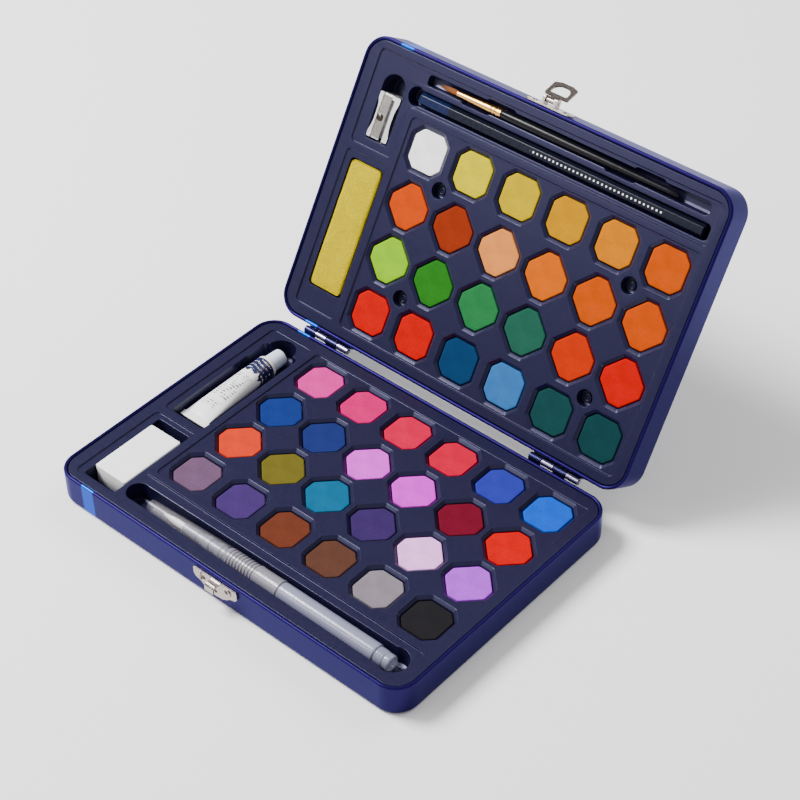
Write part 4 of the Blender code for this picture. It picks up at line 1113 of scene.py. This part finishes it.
def make_hairs(place):
    """A pointed bunch of tapering hairs."""
    random.seed(4)
    tip, root = at(50, 0).x, at(64, 0).x
    bm = bmesh.new()
    for _ in range(150):
        angle = random.uniform(0, 2 * math.pi)
        spread = math.sqrt(random.random())
        length = random.uniform(0.0, 1.6) * MM
        rings = []
        for i in range(9):
            t = i / 8
            x = root + (tip + length * spread - root) * t
            if t < 0.66:
                belly = 1.05 + 0.35 * math.sin(math.pi * min(1, t * 1.5))
            else:
                belly = 1.4 * (1 - t) / 0.34 * 0.95 + 0.05
            r = min(1.3, belly) * spread * MM
            cy, cz = r * math.cos(angle), r * math.sin(angle)
            thick = 0.085 * MM * (1 - 0.75 * t)
            corners = (0.3, 2.4, 4.5)
            rings.append([place(x, cy + thick * math.cos(a), cz + thick * math.sin(a)) for a in corners])
        loft(bm, rings)
    return bm


def make_paint_brush(mats):
    y, z, place = lid_line(12.6, 3.2)

    def piece(bm, name, part, mat, x):
        node = "paint_brush_" + part
        return make(bm, name, LID, "paint_brush", [node], mat, (x, y, z))

    piece(make_hairs(place), "brush_hairs", "tuft", mats["hair"], at(64, 0).x)
    ferrule = [(62.8, 1.35), (63.0, 1.5), (70, 1.68), (84, 2.2), (85.6, 2.24), (85.9, 2.06), (86.6, 2.06)]
    ferrule += [(86.9, 2.28), (88.2, 2.3), (88.5, 2.14), (89.2, 2.14), (89.5, 2.34), (92.2, 2.38)]
    ferrule += [(92.4, 2.3), (92.4, 1.55), (62.8, 1.2)]
    bm = turned(scaled(ferrule), place, 40, closed=True)
    weigh_normals(piece(bm, "brush_ferrule", "ferrule", mats["gold"], at(62.8, 0).x))
    handle = [(92.5, 0.8), (92.55, 2.1), (93.2, 2.3), (98, 2.44), (104, 2.5), (110, 2.54), (116, 2.54)]
    handle += [(126, 2.48), (138, 2.34), (150, 2.18), (164, 1.98), (180, 1.74), (192, 1.56), (199, 1.46)]
    handle += [(202.3, 1.36), (203.2, 1.1), (203.6, 0.5)]
    piece(turned(scaled(handle), place, 40), "brush_handle", "handle", mats["lacquer"], at(116, 0).x)


def make_pencil(mat, lead_mat):
    """A six-sided barrel with soft corners, a dipped left end and a sharp cut right end."""
    y, z, place = lid_line(23.1, 4.4)
    corner = 3.5 * MM / math.cos(math.pi / 6)
    levels = [(42.0, 0.74), (42.2, 0.86), (42.7, 0.955), (43.6, 0.99), (61.5, 0.992), (61.8, 0.98)]
    levels += [(222.3, 0.98), (222.6, 0.965), (222.6, 0.34)]
    rings = []
    for x, grow in levels:
        points = [Vector((math.cos(angle), math.sin(angle))) * corner * grow for angle in around(6)]
        outline = filleted([(p, 0.9 * MM * grow) for p in points], 5)
        rings.append([place(at(x, 0).x, p.x, p.y) for p in outline])
    bm = bmesh.new()
    loft(bm, rings)
    origin = (at(132, 0).x, y, z)
    obj = make(bm, "pencil_body", LID, "pencil", ["pencil_barrel"], mat, origin)
    weigh_normals(obj)
    dress_cad_node("pencil_lead", lead_mat)


def pencil_lacquer():
    """Near-black lacquer with a navy dipped end and a row of pale dots."""
    s = Shader("pencil_lacquer", pigment(24, 26, 46), 0.28)
    x, y, z = s.axes()
    dipped = s.ramp(x, -69.9 * MM, -69.7 * MM, 1.0, 0.0)
    colour = s.mix(dipped, pigment(24, 26, 46), pigment(30, 40, 88))
    step = 2.56 * MM
    phase = s.math("SUBTRACT", s.math("FRACT", s.math("DIVIDE", s.plus(x, 1.0), step)), 0.5)
    dx = s.times(phase, step)
    dy = s.plus(y, 0.2 * MM)
    dots = s.ramp(s.plus(s.times(dx, dx), s.times(dy, dy)), (0.46 * MM) ** 2, (0.58 * MM) ** 2, 1.0, 0.0)
    dots = s.times(dots, s.band(x, -15.2 * MM, 67 * MM), s.ramp(z, 0.0, 0.1 * MM))
    s.paint(s.mix(dots, colour, pigment(225, 228, 238)))
    s.rough(s.noise(300, 3), 0.22, 0.34)
    s.bump(s.noise(300, 2), 0.04, 0.00005)
    s.set(Specular_IOR_Level=0.16)
    return s.mat


def hair():
    s = Shader("hair", pigment(176, 104, 48), 0.5)
    x = s.axes()[0]
    s.paint(s.mix(s.ramp(x, -14 * MM, -6 * MM), pigment(78, 38, 18), pigment(172, 112, 30)))
    s.rough(s.noise(900, 2), 0.4, 0.6)
    s.set(Specular_IOR_Level=0.15)
    return s.mat


# ---------------------------------------------------------------- scene

def make_camera():
    yaw, pitch, roll = (math.radians(v) for v in (41.975, -41.77, -1.195))
    forward = Vector((-math.sin(yaw) * math.cos(pitch), math.cos(yaw) * math.cos(pitch), math.sin(pitch)))
    right = forward.cross(Vector((0, 0, 1))).normalized()
    up = right.cross(forward)
    tilted_right = right * math.cos(roll) + up * math.sin(roll)
    tilted_up = up * math.cos(roll) - right * math.sin(roll)
    turn = Matrix((tilted_right, tilted_up, -forward)).transposed().to_4x4()
    data = bpy.data.cameras.new("camera")
    data.sensor_width = 36
    data.lens = 92.16
    data.clip_start = 0.01
    camera = bpy.data.objects.new("camera", data)
    camera.matrix_world = Matrix.Translation((0.5232, -0.5270, 0.7380)) @ turn
    bpy.context.scene.collection.objects.link(camera)
    bpy.context.scene.camera = camera


def make_light(name, place, size, power, target=(0, 0.05, 0.03)):
    data = bpy.data.lights.new(name, "AREA")
    data.size = size
    data.energy = power
    light = bpy.data.objects.new(name, data)
    light.location = place
    light.rotation_euler = (Vector(target) - Vector(place)).to_track_quat("-Z", "Y").to_euler()
    bpy.context.scene.collection.objects.link(light)


def make_stage():
    bm = bmesh.new()
    bmesh.ops.create_grid(bm, x_segments=1, y_segments=1, size=3)
    mesh = bpy.data.meshes.new("floor")
    bm.to_mesh(mesh)
    bm.free()
    floor = bpy.data.objects.new("floor", mesh)
    floor.location.z = -0.0002
    bpy.context.scene.collection.objects.link(floor)
    s = Shader("floor_paper", (0.94, 0.94, 0.94, 1), 0.9)
    floor.data.materials.append(s.mat)
    world = bpy.data.worlds.new("studio")
    world.use_nodes = True
    world.node_tree.nodes["Background"].inputs[0].default_value = (1, 1, 1, 1)
    world.node_tree.nodes["Background"].inputs[1].default_value = 0.38
    bpy.context.scene.world = world
    make_light("key", (-1.1, -0.35, 1.45), 0.7, 76)
    make_light("strip", (-0.8, -1.1, 1.0), 0.5, 5)
    make_light("fill", (1.0, -0.4, 1.0), 1.2, 2)
    make_light("back", (0.3, 1.3, 1.1), 1.2, 16)


def dress_cad_node(node, mat):
    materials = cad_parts[node].data.materials
    materials.clear()
    materials.append(mat)


def main():
    make_camera()
    make_stage()
    enamel = tin_paint()
    tray = tray_plastic()
    for half in ("base", "lid"):
        make_tin(half, enamel)
        make_tray(half, tray)
        make_cakes(half)
    nickel = metal("nickel", (176, 166, 160), 0.24).mat
    # A darker copy of the nickel, used for the hasp
    dark_nickel = metal("darker_nickel", (150, 138, 132), 0.26).mat
    hinge_metal = metal("hinge_metal", (34, 34, 72), 0.28, metallic=0.85).mat
    make_rivets(plastic("fixing_plastic", (22, 24, 60), 0.2).set(Specular_IOR_Level=0.3).mat)
    # The lid hinge leaves' lighter metal is a painted highlight on the same dark blue hinge
    make_hinges(hinge_metal, metal("lid_hinge_painted_highlight_metal", (128, 122, 150), 0.16).mat)
    make_catch(nickel)
    make_latch_plate(nickel)
    make_hasp(dark_nickel)
    pin_steel = metal("pin_steel", (150, 150, 156), 0.25).mat
    for node in ("left_hinge_pin", "right_hinge_pin", "latch_pin"):
        dress_cad_node(node, pin_steel)
    make_tube(tube_print(), plastic("tube_cap_plastic", (216, 218, 222), 0.38).mat)
    make_eraser(plastic("eraser_vinyl_white", (236, 234, 236), 0.62, grain=1500).mat)
    make_water_brush({
        "clear": plastic("clear_plastic", (190, 188, 190), 0.2, alpha=0.15).mat,
        "tuft": plastic("nylon_tuft", (240, 240, 240), 0.6, grain=3000).mat,
        "milky": plastic("milky_plastic", (186, 188, 198), 0.22, alpha=0.55).mat,
        "grip": plastic("grip_plastic", (184, 182, 188), 0.2, alpha=0.56).mat,
        "frosted": plastic("frosted_plastic", (184, 184, 196), 0.2, alpha=0.64).mat,
    })
    make_sponge(sponge_foam())
    make_sharpener(
        metal("cast_metal", (232, 230, 232), 0.36, (20, 200, 200)).mat,
        metal("blade_steel", (204, 198, 192), 0.2, (300, 10, 10)).mat,
        metal("screw_steel", (92, 84, 80), 0.22).mat,
    )
    make_paint_brush({
        "hair": hair(),
        "gold": metal("gold_metal", (218, 166, 88), 0.26, (20, 200, 200)).mat,
        "lacquer": plastic("black_lacquer", (20, 20, 26), 0.2).set(Specular_IOR_Level=0.16).mat,
    })
    make_pencil(pencil_lacquer(), metal("graphite", (60, 60, 64), 0.4, metallic=0.4).mat)


main()
